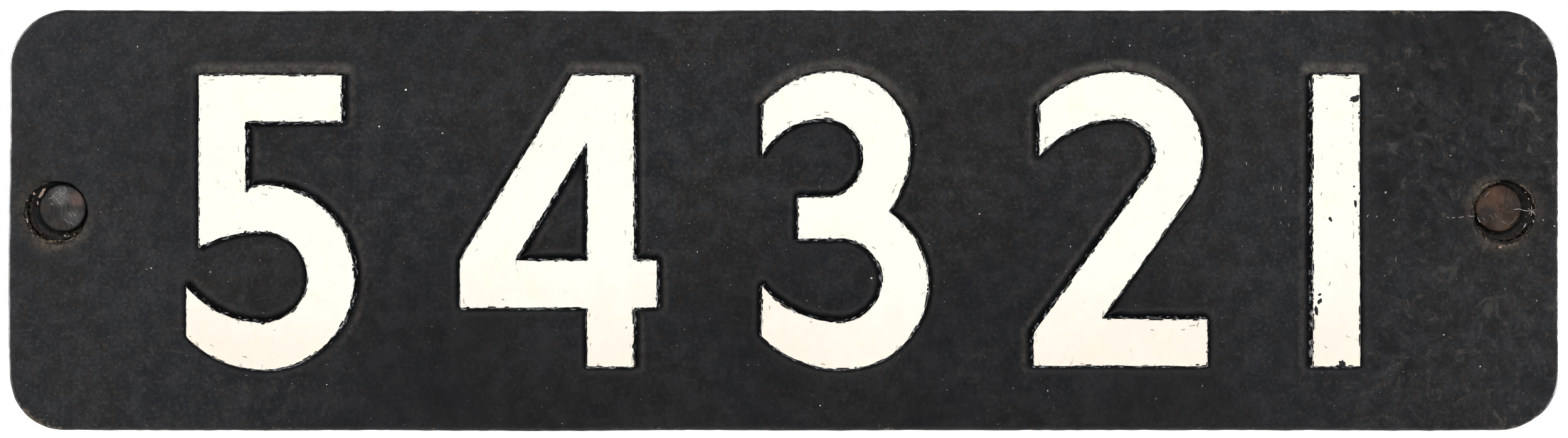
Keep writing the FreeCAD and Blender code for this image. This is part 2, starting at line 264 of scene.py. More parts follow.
def facing(points, faces, way):
    """The triangles with their corners in the order that turns them forwards (1) or backwards (-1)."""
    across = points[faces[:, 1]] - points[faces[:, 0]]
    up = points[faces[:, 2]] - points[faces[:, 0]]
    flip = way * (across[:, 0] * up[:, 1] - across[:, 1] * up[:, 0]) < 0
    faces[flip] = faces[flip][:, ::-1]
    return faces


def triangles(points, rim, way):
    """The Delaunay triangles of points in the plane, of which the first are the rim, without the bolt holes."""
    edges = [(i, (i + 1) % rim) for i in range(rim)]
    made = delaunay_2d_cdt([Vector(p) for p in points], edges, [], 0, 1e-7, True)
    first = [ids[0] for ids in made[3]]
    faces = np.array([[first[i] for i in face] for face in made[2]], int)
    middles = points[faces].mean(1)
    solid = np.min([apart(middles, place) for place in BOLT.values()], 0)
    return facing(points, faces[solid > HOLE_RADIUS * math.cos(math.pi / HOLE_POINTS) - 0.01], way)


NUMERALS = []
at = MARGIN - PLATE["length"] / 2
for draw in (five, four, three, two, one):
    width, outlines = draw()
    loops = []
    for i, corners in enumerate(outlines):
        pairs = zip(corners, corners[1:] + corners[:1])
        loop = np.vstack([run_points(a[:2], b[:2], *a[2:]) for a, b in pairs]) + (at, BASE)
        loop = soft_corners(even(loop, OUTLINE_STEP))
        loops.append(loop if (area(loop) > 0) == (i == 0) else loop[::-1])
    NUMERALS.append({"name": draw.__name__, "left": at, "loops": loops})
    at += width + GAP


class Nearness:
    """Signed distance to the outlines of the numerals: negative on the metal, positive beside it."""

    def __init__(self, loops):
        self.points = np.vstack(loops)
        self.normals = np.vstack([outward(loop) for loop in loops])
        starts = np.cumsum([0] + [len(loop) for loop in loops])
        self.before = np.arange(len(self.points)) - 1
        self.after = np.arange(len(self.points)) + 1
        for a, b in zip(starts, starts[1:]):
            self.before[a], self.after[b - 1] = b - 1, a
        self.tree = KDTree(len(self.points))
        for i, (x, z) in enumerate(self.points):
            self.tree.insert((x, z, 0), i)
        self.tree.balance()

    def nearest(self, where):
        return np.array([self.tree.find((x, z, 0))[1] for x, z in where], int)

    def at(self, where):
        nearest = self.nearest(where)
        best = np.full(len(where), 1e9)
        for ends in (self.before, self.after):
            a, b = self.points[nearest], self.points[ends[nearest]]
            along = b - a
            share = np.clip(((where - a) * along).sum(1) / (along * along).sum(1), 0, 1)
            best = np.minimum(best, np.hypot(*(where - a - along * share[:, None]).T))
        side = ((where - self.points[nearest]) * self.normals[nearest]).sum(1)
        return np.where(side > 0, best, -best)

    def facing(self, where):
        """How much the nearest wall faces up, and how much it faces the middle of the plate: the masks for the dust
        and painted highlights on the fillets of the numerals.
        """
        across, up = self.normals[self.nearest(where)].T
        high = smooth_step(where[:, 1], 0, 45) * (0.75 + 0.25 * smooth_step(where[:, 0], 140, 205))
        return np.maximum(up, 0) * high, np.maximum(-across * np.tanh(where[:, 0] / 60), 0)


NEARNESS = Nearness([loop for numeral in NUMERALS for loop in numeral["loops"]])

# The side of a numeral, from the edge of its top down to the face: distance beyond the outline, height
slant = math.tan(math.radians(WALL_DRAFT))
lean = math.radians(90 - WALL_DRAFT)
foot_height = FOOT_ROUND * (1 - math.cos(lean))
wall = RELIEF - TOP_ROUND - foot_height
foot_reach = wall * slant + FOOT_ROUND * math.sin(lean)
SIDE = np.array([
    (-TOP_ROUND, RELIEF), (-0.6 * TOP_ROUND, RELIEF - 0.08 * TOP_ROUND), (-0.2 * TOP_ROUND, RELIEF - 0.4 * TOP_ROUND),
    (0, RELIEF - TOP_ROUND), (wall * slant / 2, (RELIEF - TOP_ROUND + foot_height) / 2),
    *((foot_reach - FOOT_ROUND * math.sin(part * lean), FOOT_ROUND * (1 - math.cos(part * lean)))
      for part in (1, 0.78, 0.56, 0.35, 0.15)),
    (foot_reach + 0.5, 0),
])


def ring(loop, off, step):
    """Points at a distance from an outline, fanned out round its corners, where nothing else is nearer."""
    base = even(loop, step)
    normals = outward(base)
    found = []
    for i in range(len(base)):
        j = (i + 1) % len(base)
        turn = math.acos(max(-1.0, min(1.0, float(normals[i] @ normals[j]))))
        parts = max(1, min(8, math.ceil(turn * max(off, 0) / step)))
        for k in range(parts):
            normal = normals[i] * (1 - k / parts) + normals[j] * (k / parts)
            point = base[i] * (1 - k / parts) + base[j] * (k / parts)
            found.append(point + off * normal / np.hypot(*normal))
    found = np.array(found)
    true = NEARNESS.at(found)
    return found[np.abs(true - off) < 0.06 + 0.04 * abs(off)]


def plate_outline(off):
    """The outline of the face, moved outwards by this distance, with the same number of points each time."""
    shrink = PLATE["thickness"] * math.tan(math.radians(PLATE["draft"]))
    half = np.array([PLATE["length"], PLATE["height"]]) / 2 - shrink + off
    arcs = []
    for side, signs in enumerate(((1, -1), (1, 1), (-1, 1), (-1, -1))):
        radius = CORNERS[side] - shrink + off
        angles = np.radians(-90 + 90 * side + np.linspace(0, 90, 19))
        centre = np.array(signs) * (half - radius)
        arcs.append(centre + radius * np.column_stack([np.cos(angles), np.sin(angles)]))
    points = []
    for side, arc in enumerate(arcs):
        flat = (PLATE["height"], PLATE["length"])[side % 2] - 2 * PLATE["corner"]
        count = round(flat / 1.8)
        share = (np.arange(1, count) / count)[:, None]
        points += [arc, arc[-1] * (1 - share) + arcs[(side + 1) % 4][0] * share]
    return np.vstack(points)


def wander(x, z):
    """How far the casting's edges stray sideways."""
    dx, dz = (
        rough(x, z, (0.22, 45, seed), (0.10, 9, seed + 1), (0.06, 2.6, seed + 2)) for seed in (11, 14)
    )
    left_end = smooth_step(-x, 270, 300)
    dx += left_end * (0.75 * smooth_step(z, -10, 50) + 0.5 * smooth_step(-z, 38, 65))
    return dx, dz


def recess_wobble(x, z):
    """How far the rims of the recesses stray, which stay clear of the bolt heads."""
    dx, dz = np.zeros(len(x)), np.zeros(len(x))
    for side, (across, up) in RECESS.items():
        out_x, out_z = x - across, z - up
        radius = np.maximum(np.hypot(out_x, out_z), 0.1)
        at_rim = smooth_step(radius, RECESS_RADIUS - 2, RECESS_RADIUS - 0.6) * smooth_step(-radius, -18, -13.5)
        stray = rough(x, z, (0.42, 6.5, 33), (0.28, 2.8, 34), (0.14, 1.2, 35))
        away = np.clip(stray, -0.22, 0.9) * at_rim
        dx, dz = dx + out_x / radius * away, dz + out_z / radius * away
    return dx, dz


# Lumps left by the mould beside the last numeral: across, up, radius, height
MOULD_LUMPS = [
    (229.8, 64.9, 2.6, 0.42), (236.6, 66.8, 3.0, 0.38), (232.8, 60.2, 1.8, 0.25), (243.5, 69.5, 2.2, 0.22),
    (231.5, 45.0, 1.5, 0.2), (252.0, 58.5, 3.4, -0.28), (264.0, 47.5, 4.2, -0.25), (247.5, 22.0, 2.4, 0.2),
    (277.0, -19.6, 1.3, 0.32), (280.6, -20.6, 1.2, 0.3), (284.2, -21.6, 1.5, 0.3), (287.4, -20.2, 1.0, 0.22),
    (-262.0, 30.0, 2.6, 0.18), (-268.5, -41.0, 3.0, 0.2), (-20.0, 70.0, 2.4, 0.16), (84.0, -66.0, 2.8, 0.18),
]


def grain(x, z):
    """How far the casting's skin stands in or out, in mm."""
    skin = rough(x, z, (0.10, 34, 21), (0.07, 13, 22), (0.05, 6, 23), (0.035, 3.1, 24), (0.04, 1.9, 25))
    skin += smooth_step(x, 222, 250) * rough(x, z, (0.14, 5, 27), (0.11, 2.6, 28))
    for across, up, radius, height in MOULD_LUMPS:
        skin += height * np.exp(-((x - across) ** 2 + (z - up) ** 2) / radius ** 2)
    return skin


def new_object(name, data):
    made = bpy.data.objects.new(name, data)
    bpy.context.scene.collection.objects.link(made)
    return made


def mesh_object(name, vertices, faces, material, replaced=(), smooth=True, attributes=None):
    """Makes a piece from points in mm and rides it on the plate's body."""
    mesh = bpy.data.meshes.new(name)
    mesh.from_pydata((np.asarray(vertices, float) * MM).tolist(), [], [list(map(int, f)) for f in faces])
    mesh.validate()
    for label, values in (attributes or {}).items():
        layer = mesh.attributes.new(label, "FLOAT", "POINT")
        layer.data.foreach_set("value", np.asarray(values, np.float32))
    if smooth:
        mesh.polygons.foreach_set("use_smooth", [True] * len(mesh.polygons))
    piece = new_object(name, mesh)
    mesh.materials.append(material)
    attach(piece, "root")
    if replaced:
        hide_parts(*replaced)


def bridge(lower, upper):
    """Faces between two closed rings of vertex numbers."""
    return [(a, b, d, c) for a, b, c, d in zip(lower, np.roll(lower, -1), upper, np.roll(upper, -1))]


# Materials


class Nodes:
    """A node tree, with a short way to add a node with its settings and its inputs."""

    def __init__(self, tree):
        self.tree = tree

    def put(self, socket, value):
        """A value, a colour or a link on a socket."""
        if isinstance(value, bpy.types.NodeSocket):
            self.tree.links.new(value, socket)
        else:
            socket.default_value = (*value, 1) if socket.type == "RGBA" else value

    def node(self, kind, inputs=None, **settings):
        made = self.tree.nodes.new(kind)
        for key, value in settings.items():
            setattr(made, key, value)
        for key, value in (inputs or {}).items():
            self.put(made.inputs[key], value)
        return made


class Finish(Nodes):
    """A node material, with short names for the nodes that the finishes here are made of."""

    def __init__(self, name):
        self.material = bpy.data.materials.new(name)
        self.material.use_nodes = True
        super().__init__(self.material.node_tree)
        self.shader = self.tree.nodes["Principled BSDF"]
        self.place = self.node("ShaderNodeTexCoord").outputs["Object"]

    def noise(self, scale, detail, roughness, seed, distortion=0.0, stretch=None):
        """Noise of this scale, in lumps per metre, drawn out where there is a stretch."""
        place = self.place
        if stretch:
            turned = {"Scale": stretch, "Rotation": (0, seed, 0), "Vector": place}
            place = self.node("ShaderNodeMapping", turned).outputs["Vector"]
        inputs = {"Vector": place, "W": seed, "Scale": scale, "Detail": detail, "Roughness": roughness}
        inputs["Distortion"] = distortion
        return self.node("ShaderNodeTexNoise", inputs, noise_dimensions="4D").outputs["Fac"]

    def specks(self, scale, seed, rarity, size):
        """Dots in a few of the cells of this scale, per metre, of one size or of sizes between two."""
        inputs = {"Vector": self.place, "Scale": scale, "W": seed}
        cells = self.node("ShaderNodeTexVoronoi", inputs, voronoi_dimensions="4D")
        chance = self.node("ShaderNodeSeparateColor", {"Color": cells.outputs["Color"]})
        if isinstance(size, tuple):
            size = self.fit(chance.outputs["Green"], 0, 1, *size, "LINEAR")
        chosen = self.maths("GREATER_THAN", chance.outputs["Red"], rarity)
        return self.times(chosen, self.maths("LESS_THAN", cells.outputs["Distance"], size))

    def fit(self, value, low, high, to_low=0.0, to_high=1.0, kind="SMOOTHSTEP"):
        """The range from low to high brought to another range, and held within it."""
        inputs = {"Value": value, "From Min": low, "From Max": high, "To Min": to_low, "To Max": to_high}
        return self.node("ShaderNodeMapRange", inputs, interpolation_type=kind).outputs["Result"]

    def maths(self, operation, a, b):
        return self.node("ShaderNodeMath", {0: a, 1: b}, operation=operation).outputs[0]

    def times(self, product, *factors):
        for factor in factors:
            product = self.maths("MULTIPLY", product, factor)
        return product

    def mix(self, share, a, b):
        return self.node("ShaderNodeMix", {0: share, 6: a, 7: b}, data_type="RGBA").outputs[2]

    def over(self, share, shade):
        """Lays a share of a shade over the colour so far."""
        self.colour = self.mix(share, self.colour, shade)

    def spot(self, centre, radius):
        """A soft round patch about a point in mm across and up."""
        flat = self.node("ShaderNodeVectorMath", {0: self.place, 1: (1, 0, 1)}, operation="MULTIPLY").outputs[0]
        centre = (centre[0] * MM, 0, centre[1] * MM)
        away = self.node("ShaderNodeVectorMath", {0: flat, 1: centre}, operation="DISTANCE").outputs["Value"]
        return self.fit(away, 0.35 * radius * MM, 1.15 * radius * MM, 1, 0)

    def attribute(self, name):
        return self.node("ShaderNodeAttribute", attribute_name=name).outputs["Fac"]

    def bump(self, height, distance, strength):
        inputs = {"Strength": strength, "Distance": distance, "Height": height}
        return self.node("ShaderNodeBump", inputs).outputs["Normal"]

    def shade(self, **values):
        """Puts values on the shader's sockets, named with _ for a space."""
        for label, value in values.items():
            self.put(self.shader.inputs[label.replace("_", " ")], value)

    def done(self, roughness, normal, specular, metallic=0.0):
        self.shade(Base_Color=self.colour, Roughness=roughness, Metallic=metallic, Normal=normal)
        self.shade(Specular_IOR_Level=specular)
        return self.material


def grey(value, tint=(1, 1, 1)):
    return tuple(value * t for t in tint)


def black_paint():
    """Old satin black over a sand casting: mottled, with painted shade and light across the face, dusty in its pores,
    with dust and painted highlights on the fillets of the numerals and painted shade along their feet, white
    enamel strayed on the walls of the numerals and the paint gone from parts of the edge."""
    f = Finish("black_paint")
    cloudy, blotchy, fine = f.noise(16, 4, 0.6, 1), f.noise(120, 5, 0.65, 2, distortion=0.3), f.noise(620, 4, 0.7, 3)
    f.colour = f.mix(f.fit(cloudy, 0.42, 0.60), (0.0085, 0.0103, 0.0128), (0.0108, 0.0106, 0.0094))
    f.over(f.fit(blotchy, 0.40, 0.66), (0.0215, 0.0228, 0.0248))
    f.over(f.fit(fine, 0.48, 0.72, 0, 0.8), (0.052, 0.050, 0.047))
    f.over(f.fit(f.noise(230, 4, 0.7, 5), 0.54, 0.70, 0, 0.6), (0.030, 0.021, 0.015))
    f.over(f.fit(f.noise(900, 2, 0.6, 18), 0.55, 0.68, 0, 0.8), (0.0040, 0.0042, 0.0048))

    patchy = f.attribute("patchy")
    patches = f.noise(130, 5, 0.68, 19, distortion=1.3)
    f.over(f.times(patchy, f.fit(patches, 0.50, 0.58, 0, 0.9)), (0.0018, 0.0018, 0.0022))
    f.over(f.times(patchy, f.fit(patches, 0.44, 0.34, 0, 0.9)), (0.085, 0.079, 0.070))
    # painted shade and light: the paint darkened low in the middle and at the upper right, and lightened at the left
    # end
    f.colour = f.mix(f.attribute("tone"), (0.0022, 0.0022, 0.0026), f.colour)

    # dust, more of it in the counters of the numerals: scale, share, size, how light, seed
    away = f.attribute("beside")
    counter = f.fit(away, 6, 22, 1, 0)
    for scale, share, size, level, seed in (
        (1000, 0.050, 0.18, 0.26, 4), (560, 0.030, 0.15, 0.55, 14), (290, 0.030, 0.115, 0.85, 24),
    ):
        rarity = f.fit(counter, 0, 1, 1 - share * 0.7, 1 - share * 1.9, "LINEAR")
        dust = f.specks(scale, seed, rarity, (0.35 * size, 1.3 * size))
        f.over(dust, (level, 0.97 * level, 0.92 * level))

    # the walls and feet of the numerals: painted shade along their feet, dust and painted highlights on their fillets
    upward, inward = f.attribute("upward"), f.attribute("inward")
    # painted shade: the walls and feet of the numerals darkened, narrower where they face up
    foot = f.maths("DIVIDE", away, f.fit(upward, 0.2, 0.9, 2.4, 0.8))
    f.over(f.times(f.fit(away, -0.4, 0.0), f.fit(foot, 0.5, 1.0, 1, 0), 0.9), (0.0020, 0.0020, 0.0024))
    cloud = f.fit(f.noise(330, 5, 0.8, 7), 0.36, 0.64, 0.0, 1)
    # dust and a painted highlight on the fillets above the numerals, which face up
    above = f.times(f.fit(away, 0.5, 1.5), f.fit(away, 1.8, 6.5, 1, 0), f.fit(upward, 0.1, 0.95))
    f.over(f.times(above, f.fit(cloud, 0, 1, 0.35, 1)), (0.120, 0.108, 0.096))
    # dust and a painted highlight on the fillets that face the middle of the plate
    beside = f.times(f.fit(away, 2.2, 3.2), f.fit(away, 3.4, 5.6, 1, 0), f.fit(inward, 0.3, 1.0, 0, 0.55))
    f.over(f.times(beside, cloud), (0.080, 0.070, 0.062))
    ring = f.times(f.attribute("dusty"), f.fit(f.noise(480, 5, 0.8, 20), 0.40, 0.62, 0.12, 1))
    f.over(ring, (0.090, 0.072, 0.054))
    on_wall = f.times(f.fit(away, -0.6, -0.2), f.fit(away, 0.25, 1.1, 1, 0))
    f.over(f.times(on_wall, f.fit(f.noise(420, 4, 0.7, 6), 0.54, 0.61)), (0.62, 0.66, 0.70))

    flaked = f.maths("ADD", f.attribute("flaked"), f.fit(f.noise(420, 5, 0.75, 10), 0.3, 0.7, -0.5, 0.5))
    f.over(f.fit(flaked, 0.46, 0.56), f.mix(fine, (0.035, 0.024, 0.017), (0.15, 0.115, 0.085)))
    skin = f.maths("ADD", f.noise(560, 5, 0.7, 8), f.times(f.noise(1900, 2, 0.6, 9), 0.35))
    return f.done(f.fit(blotchy, 0.3, 0.7, 0.36, 0.50), f.bump(skin, 0.00030, 0.6), 0.20)


def ivory_enamel():
    """Thick ivory enamel, brushed on: with painted warm reflected light towards the foot of the numerals, faintly
    stained and scratched, and scuffed along its edges."""
    f = Finish("ivory_enamel")
    # painted warm reflected light: the enamel made warmer towards the foot of the numerals
    up = f.node("ShaderNodeSeparateXYZ", {"Vector": f.place}).outputs["Z"]
    height = f.maths("ADD", up, f.fit(f.noise(30, 4, 0.6, 11), 0.3, 0.7, -0.015, 0.015))
    f.colour = f.mix(f.fit(height, -0.062, -0.012, 1, 0), (0.93, 0.915, 0.83), (0.93, 0.835, 0.725))
    f.over(f.fit(f.noise(75, 4, 0.6, 16), 0.52, 0.75, 0, 0.55), (0.92, 0.88, 0.70))
    stains = f.noise(210, 5, 0.75, 12)
    f.over(f.fit(stains, 0.58, 0.72, 0, 0.45), (0.76, 0.66, 0.54))
    inset = f.attribute("inset")
    scratches = f.noise(330, 5, 0.8, 17, stretch=(1.6, 1, 0.35))
    rubbed = f.maths("ADD", scratches, f.times(f.fit(inset, 0.3, 3.2, 1, 0), 0.075))
    f.over(f.fit(rubbed, 0.66, 0.70, 0, 0.7), (0.26, 0.23, 0.21))
    f.over(f.times(f.specks(420, 15, 0.988, 0.13), 0.55), (0.22, 0.19, 0.16))
    flecks = f.maths("ADD", f.noise(520, 4, 0.8, 21), f.times(f.fit(inset, 0.0, 1.6, 1, 0), 0.10))
    f.over(f.fit(flecks, 0.70, 0.74, 0, 0.75), (0.33, 0.15, 0.08))
    brushed = f.noise(240, 3, 0.6, 13, stretch=(3.0, 1.0, 0.35))
    normal = f.bump(f.maths("ADD", brushed, f.times(stains, 0.6)), 0.00022, 0.35)
    return f.done(f.fit(brushed, 0.3, 0.7, 0.36, 0.50), normal, 0.3)


def steel(name, dark, light, rust, rusted, seed, spots=()):
    """Old steel: dull metal under brown rust, darker and lighter in spots."""
    f = Finish(name)
    wide, fine = f.noise(130, 5, 0.65, seed), f.noise(800, 4, 0.7, seed + 1)
    drawn = f.noise(260, 4, 0.7, seed + 2, distortion=0.5, stretch=(5, 1, 0.8))
    f.colour = f.mix(f.fit(drawn, 0.35, 0.65), dark, light)
    f.over(f.fit(wide, 0.62 - rusted, 0.72 - rusted), rust)
    for centre, radius, share, shade in spots:
        f.over(f.times(f.spot(centre, radius), f.fit(fine, 0.32, 0.56, 0.45 * share, share)), shade)
    f.over(f.fit(fine, 0.56, 0.74, 0, 0.4), grey(0.13, (1, 0.80, 0.66)))
    metal = f.fit(wide, 0.62 - rusted, 0.72 - rusted, 0.55, 0.05)
    height = f.maths("ADD", fine, f.times(f.maths("ADD", wide, drawn), 1.2))
    return f.done(f.fit(wide, 0.3, 0.7, 0.38, 0.62), f.bump(height, 0.0005, 0.7), 0.35, metal)


def crust(name, dark, light, seed):
    """Dried dirt, flakes and dust."""
    f = Finish(name)
    f.colour = f.mix(f.fit(f.noise(900, 4, 0.7, seed), 0.35, 0.65), dark, light)
    return f.done(0.8, f.bump(f.noise(1500, 3, 0.7, seed + 1), 0.0003, 0.6), 0.15)


PAINT = black_paint()
ENAMEL = ivory_enamel()
# The spots on the bolt heads: across and up, radius, share, colour
BOLT_FINISH = {
    "left": steel("worn_bolt_steel", grey(0.014), grey(0.052, (1, 0.97, 0.94)), (0.034, 0.026, 0.021), 0.12, 31, (
        ((-284.0, 9.6), 4.4, 0.8, grey(0.15, (1, 0.97, 0.94))), ((-277.8, 8.4), 3.6, 0.75, (0.15, 0.095, 0.085)),
        ((-288.5, 3.0), 4.5, 0.8, grey(0.016)), ((-279.0, 1.0), 4.5, 0.5, grey(0.10)),
        ((-283.5, -2.5), 3.0, 0.6, grey(0.02)),
    )),
    "right": steel("rusty_bolt_steel", (0.022, 0.013, 0.009), (0.052, 0.03, 0.019), (0.062, 0.032, 0.018), 0.16, 41, (
        ((276.6, 2.2), 4.6, 0.9, grey(0.008)), ((286.5, 6.0), 4.2, 0.75, grey(0.026, (1, 0.9, 0.82))),
        ((281.0, -0.5), 3.6, 0.7, (0.050, 0.032, 0.024)), ((279.0, 9.5), 4.4, 0.8, (0.105, 0.052, 0.031)),
    )),
}
PALE_CRUST = crust("pale_flakes", (0.24, 0.22, 0.19), (0.55, 0.53, 0.50), 71)
PINK_CRUST = crust("pink_flakes", (0.22, 0.15, 0.12), (0.50, 0.38, 0.32), 73)
TAN_CRUST = crust("tan_dirt", (0.040, 0.031, 0.022), (0.20, 0.155, 0.11), 75)
DARK_CRUST = crust("dark_dirt", (0.010, 0.009, 0.009), (0.050, 0.043, 0.036), 77)
WASHER_FINISH = steel("washer_steel_finish", grey(0.16), grey(0.30), (0.16, 0.075, 0.040), 0.12, 51)
NUT_FINISH = steel("nut_steel_finish", grey(0.10), grey(0.24), (0.14, 0.065, 0.036), 0.14, 61)


# The casting


def recess_profile():
    """Distance from the recess's middle and height from the face, from outside the rim in to the floor."""
    r, d = RECESS_RADIUS, RECESS_DEPTH
    return [(r + 2.2, 0), (r + 1.0, -0.02), (r + 0.6, -0.1), (r + 0.28, -0.3), (r + 0.08, -0.62), (r, -1.0),
            (r - 0.07, -2.3), (r - 0.15, -d + 0.9), (r - 0.4, -d + 0.25), (r - 0.95, -d)]


# Where the paint has gone from the edge: across, up, radius, how much
FLAKED = [(-290.5, -78.5, 7, 0.62), (-297.5, -72.0, 4, 0.45), (-303.5, 38.0, 5, 0.35), (246.0, 82.0, 13, 0.42),
          (196.0, 82.5, 6, 0.34), (-118.0, 82.5, 8, 0.30), (303.5, -30.0, 7, 0.28), (292.5, 77.0, 7, 0.40),
          (290.0, -79.0, 8, 0.38), (40.0, -82.5, 9, 0.30), (-200.0, -82.6, 6, 0.32)]


def flaking(x, z):
    """How far the paint has gone: a little along the whole edge and more in the worn places."""
    rim = np.minimum(PLATE["length"] / 2 - np.abs(x), PLATE["height"] / 2 - np.abs(z))
    away_x = np.maximum(np.abs(x) - (PLATE["length"] / 2 - PLATE["corner"]), 0)
    away_z = np.maximum(np.abs(z) - (PLATE["height"] / 2 - PLATE["corner"]), 0)
    in_corner = (away_x > 0) & (away_z > 0)
    rim = np.where(in_corner, PLATE["corner"] - np.hypot(away_x, away_z), rim)
    edge = smooth_step(-rim, -2.6, -0.4)
    gone = 0.16 * edge
    for across, up, radius, share in FLAKED:
        gone += share * np.exp(-((x - across) ** 2 + (z - up) ** 2) / radius ** 2) * smooth_step(-rim, -4.5, -0.6)
    return gone


def tone(x, z):
    """Painted shade and light on the face: darker low in the middle and at the upper right, lighter at the left end,
    with a little random unevenness.
    """
    low = smooth_step(-z, -20, 75) * smooth_step(-np.abs(x), -270, -120)
    high = smooth_step(x, 222, 236) * smooth_step(-x, -300, -255)
    high = high * (0.35 * smooth_step(z, -15, 20) + 0.65 * smooth_step(z, 45, 62))
    high = np.clip(high * (1 + 0.5 * lumps(x, z, 9, 45)), 0, 1)
    left = smooth_step(-x, 225, 290)
    return np.clip(0.82 - 0.44 * low - 0.62 * high + 0.12 * left + 0.14 * lumps(x, z, 28, 43), 0, 1)


def patchy(x, z):
    """Where the skin is rough and patchy."""
    end = smooth_step(x, 224, 240) * (0.45 + 0.55 * smooth_step(z, -30, 30))
    return np.clip(end + 0.35 * smooth_step(lumps(x, z, 38, 44), 0.2, 0.9), 0, 1)


def dusting(x, z):
    """Where brown dust lies round the recesses: below both, and over the left shoulder of the right one."""
    dust = np.zeros(len(x))
    lobes = {"left": ((-100, 1.0), (-40, 0.7), (165, 0.5)), "right": ((-95, 0.9), (140, 1.0), (20, 0.5))}
    for side, (across, up) in RECESS.items():
        out_x, out_z = x - across, z - up
        radius, angle = np.hypot(out_x, out_z), np.degrees(np.arctan2(out_z, out_x))
        ring = np.exp(-((radius - 13.4) / 2.2) ** 2)
        for middle, share in lobes[side]:
            apart = (angle - middle + 180) % 360 - 180
            dust += share * ring * np.exp(-(apart / 42) ** 2)
    return np.clip(dust, 0, 1)


def cast_plate():
    """The whole skin of the casting: face, numerals, recesses, sides, back and the walls of the holes."""
    # points of the face with their heights: rim, sides of the numerals, recesses and a grid over the rest
    rim = plate_outline(-PLATE["face_round"])
    parts = [(rim, 0)]
    for (off, height), step in zip(SIDE, np.interp(SIDE[:, 0], (-1, 1, 5.5), (0.8, 0.8, 1.6))):
        parts += [(ring(loop, off, step), height) for numeral in NUMERALS for loop in numeral["loops"]]
    holes = [circle(place, HOLE_RADIUS, HOLE_POINTS) for place in BOLT.values()]
    for side, hole in zip(BOLT, holes):
        for radius, height in recess_profile():
            found = circle(RECESS[side], radius, RECESS_POINTS)
            if radius < RECESS_RADIUS:
                found = found[apart(found, BOLT[side]) > HOLE_RADIUS + 0.5]
            parts.append((found, height))
        parts.append((hole, -RECESS_DEPTH))
    pitch = 1.5
    row = np.arange(-304, 304, pitch)
    grid = np.vstack([
        np.column_stack([row + (k % 2) * pitch / 2, np.full(len(row), z)])
        for k, z in enumerate(np.arange(-82, 82, pitch * 0.866))
    ])
    grid += np.random.default_rng(5).uniform(-0.22, 0.22, grid.shape)
    grid = clear_of(within(grid, rim, 21, 1.2), RECESS, RECESS_RADIUS + 2.9)
    beside = NEARNESS.at(grid)
    on_top = beside < -TOP_ROUND - 0.8
    kept = (beside > foot_reach + 1.3) | (on_top & (np.arange(len(grid)) % 5 == 0))
    parts.append((grid[kept], np.where(on_top[kept], RELIEF, 0)))
    placed = np.vstack([points for points, height in parts])
    heights = np.concatenate([np.full(len(points), height, float) for points, height in parts])

    # the face
    faces = [tuple(f) for f in triangles(placed, len(rim), 1)]
    x, z = placed.T
    dx, dz = wander(x, z)
    wobble_x, wobble_z = recess_wobble(x, z)
    still = smooth_step(np.minimum(*(apart(placed, place) for place in BOLT.values())), 9, 20)
    y = FACE_Y - heights - grain(x, z) * (0.35 + 0.65 * still)
    vertices = [np.column_stack([x + dx * still + wobble_x, y, z + dz * still + wobble_z])]
    beside = [NEARNESS.at(placed)]
    count = len(placed)

    # the rounded edge, the drafted side and the rounded back edge
    draft = math.tan(math.radians(PLATE["draft"]))
    full = draft * PLATE["thickness"]
    r, b = PLATE["face_round"], PLATE["back_round"]
    profile = [(-r + r * math.sin(a), FACE_Y + r * (1 - math.cos(a))) for a in np.radians((22, 44, 66, 87))]
    profile += [(draft * (y - FACE_Y), y) for y in (-5.5, -3.0, -b)]
    profile += [(full - b + b * math.sin(a), -b + b * math.cos(a)) for a in np.radians((55, 25, 0))]
    lower = np.arange(len(rim))
    for off, depth in profile:
        outline = plate_outline(off)
        x, z = outline.T
        dx, dz = wander(x, z)
        stray = 0.12 * lumps(x + 3 * depth, z, 5, 31) + 0.06 * lumps(x, z + 3 * depth, 2.2, 32)
        stray_x, stray_z = outward(outline).T * stray
        y = np.minimum(depth - 0.35 * grain(x, z) * smooth_step(-depth, 0, 3), 0)
        vertices.append(np.column_stack([x + dx + stray_x, y, z + dz + stray_z]))
        beside.append(np.full(len(x), FAR_BESIDE))
        upper = count + np.arange(len(rim))
        faces += bridge(upper, lower)
        lower, count = upper, count + len(rim)

    # the back, whose outline is the last row of the edge
    last = plate_outline(full - b)
    grid = within(lattice((-300, -78), (301, 79), 5.0), last, 22, 1.5)
    back = np.vstack([last, *holes, clear_of(grid, BOLT, HOLE_RADIUS + 1.5)])
    number = np.concatenate([lower, count + np.arange(len(back) - len(last))])
    faces += [tuple(f) for f in number[triangles(back, len(last), -1)]]
    x, z = back[len(last):].T
    hollow = -0.25 * smooth_step(lumps(x, z, 22, 41), -0.2, 0.9) - 0.1 * smooth_step(lumps(x, z, 8, 42), 0, 1)
    hollow[:len(holes) * HOLE_POINTS] = 0
    vertices.append(np.column_stack([x, hollow, z]))
    beside.append(np.full(len(x), FAR_BESIDE))

    # the walls of the bolt holes
    for i, hole in enumerate(holes):
        front = [int(np.argmin(apart(placed, point))) for point in hole]
        start = len(last) + HOLE_POINTS * i
        faces += bridge(front, number[start:start + HOLE_POINTS])

    vertices = np.vstack(vertices)
    upward, inward = np.zeros((2, len(vertices)))
    upward[:len(placed)], inward[:len(placed)] = NEARNESS.facing(placed)
    x, z = vertices[:, [0, 2]].T
    mesh_object(
        "number_plate_casting", vertices, faces, PAINT, ["number_plate"],
        attributes={
            "beside": np.concatenate(beside), "upward": upward, "inward": inward,
            "flaked": flaking(x, z), "tone": tone(x, z), "patchy": patchy(x, z), "dusty": dusting(x, z),
        },
    )


# The enamel on the numerals


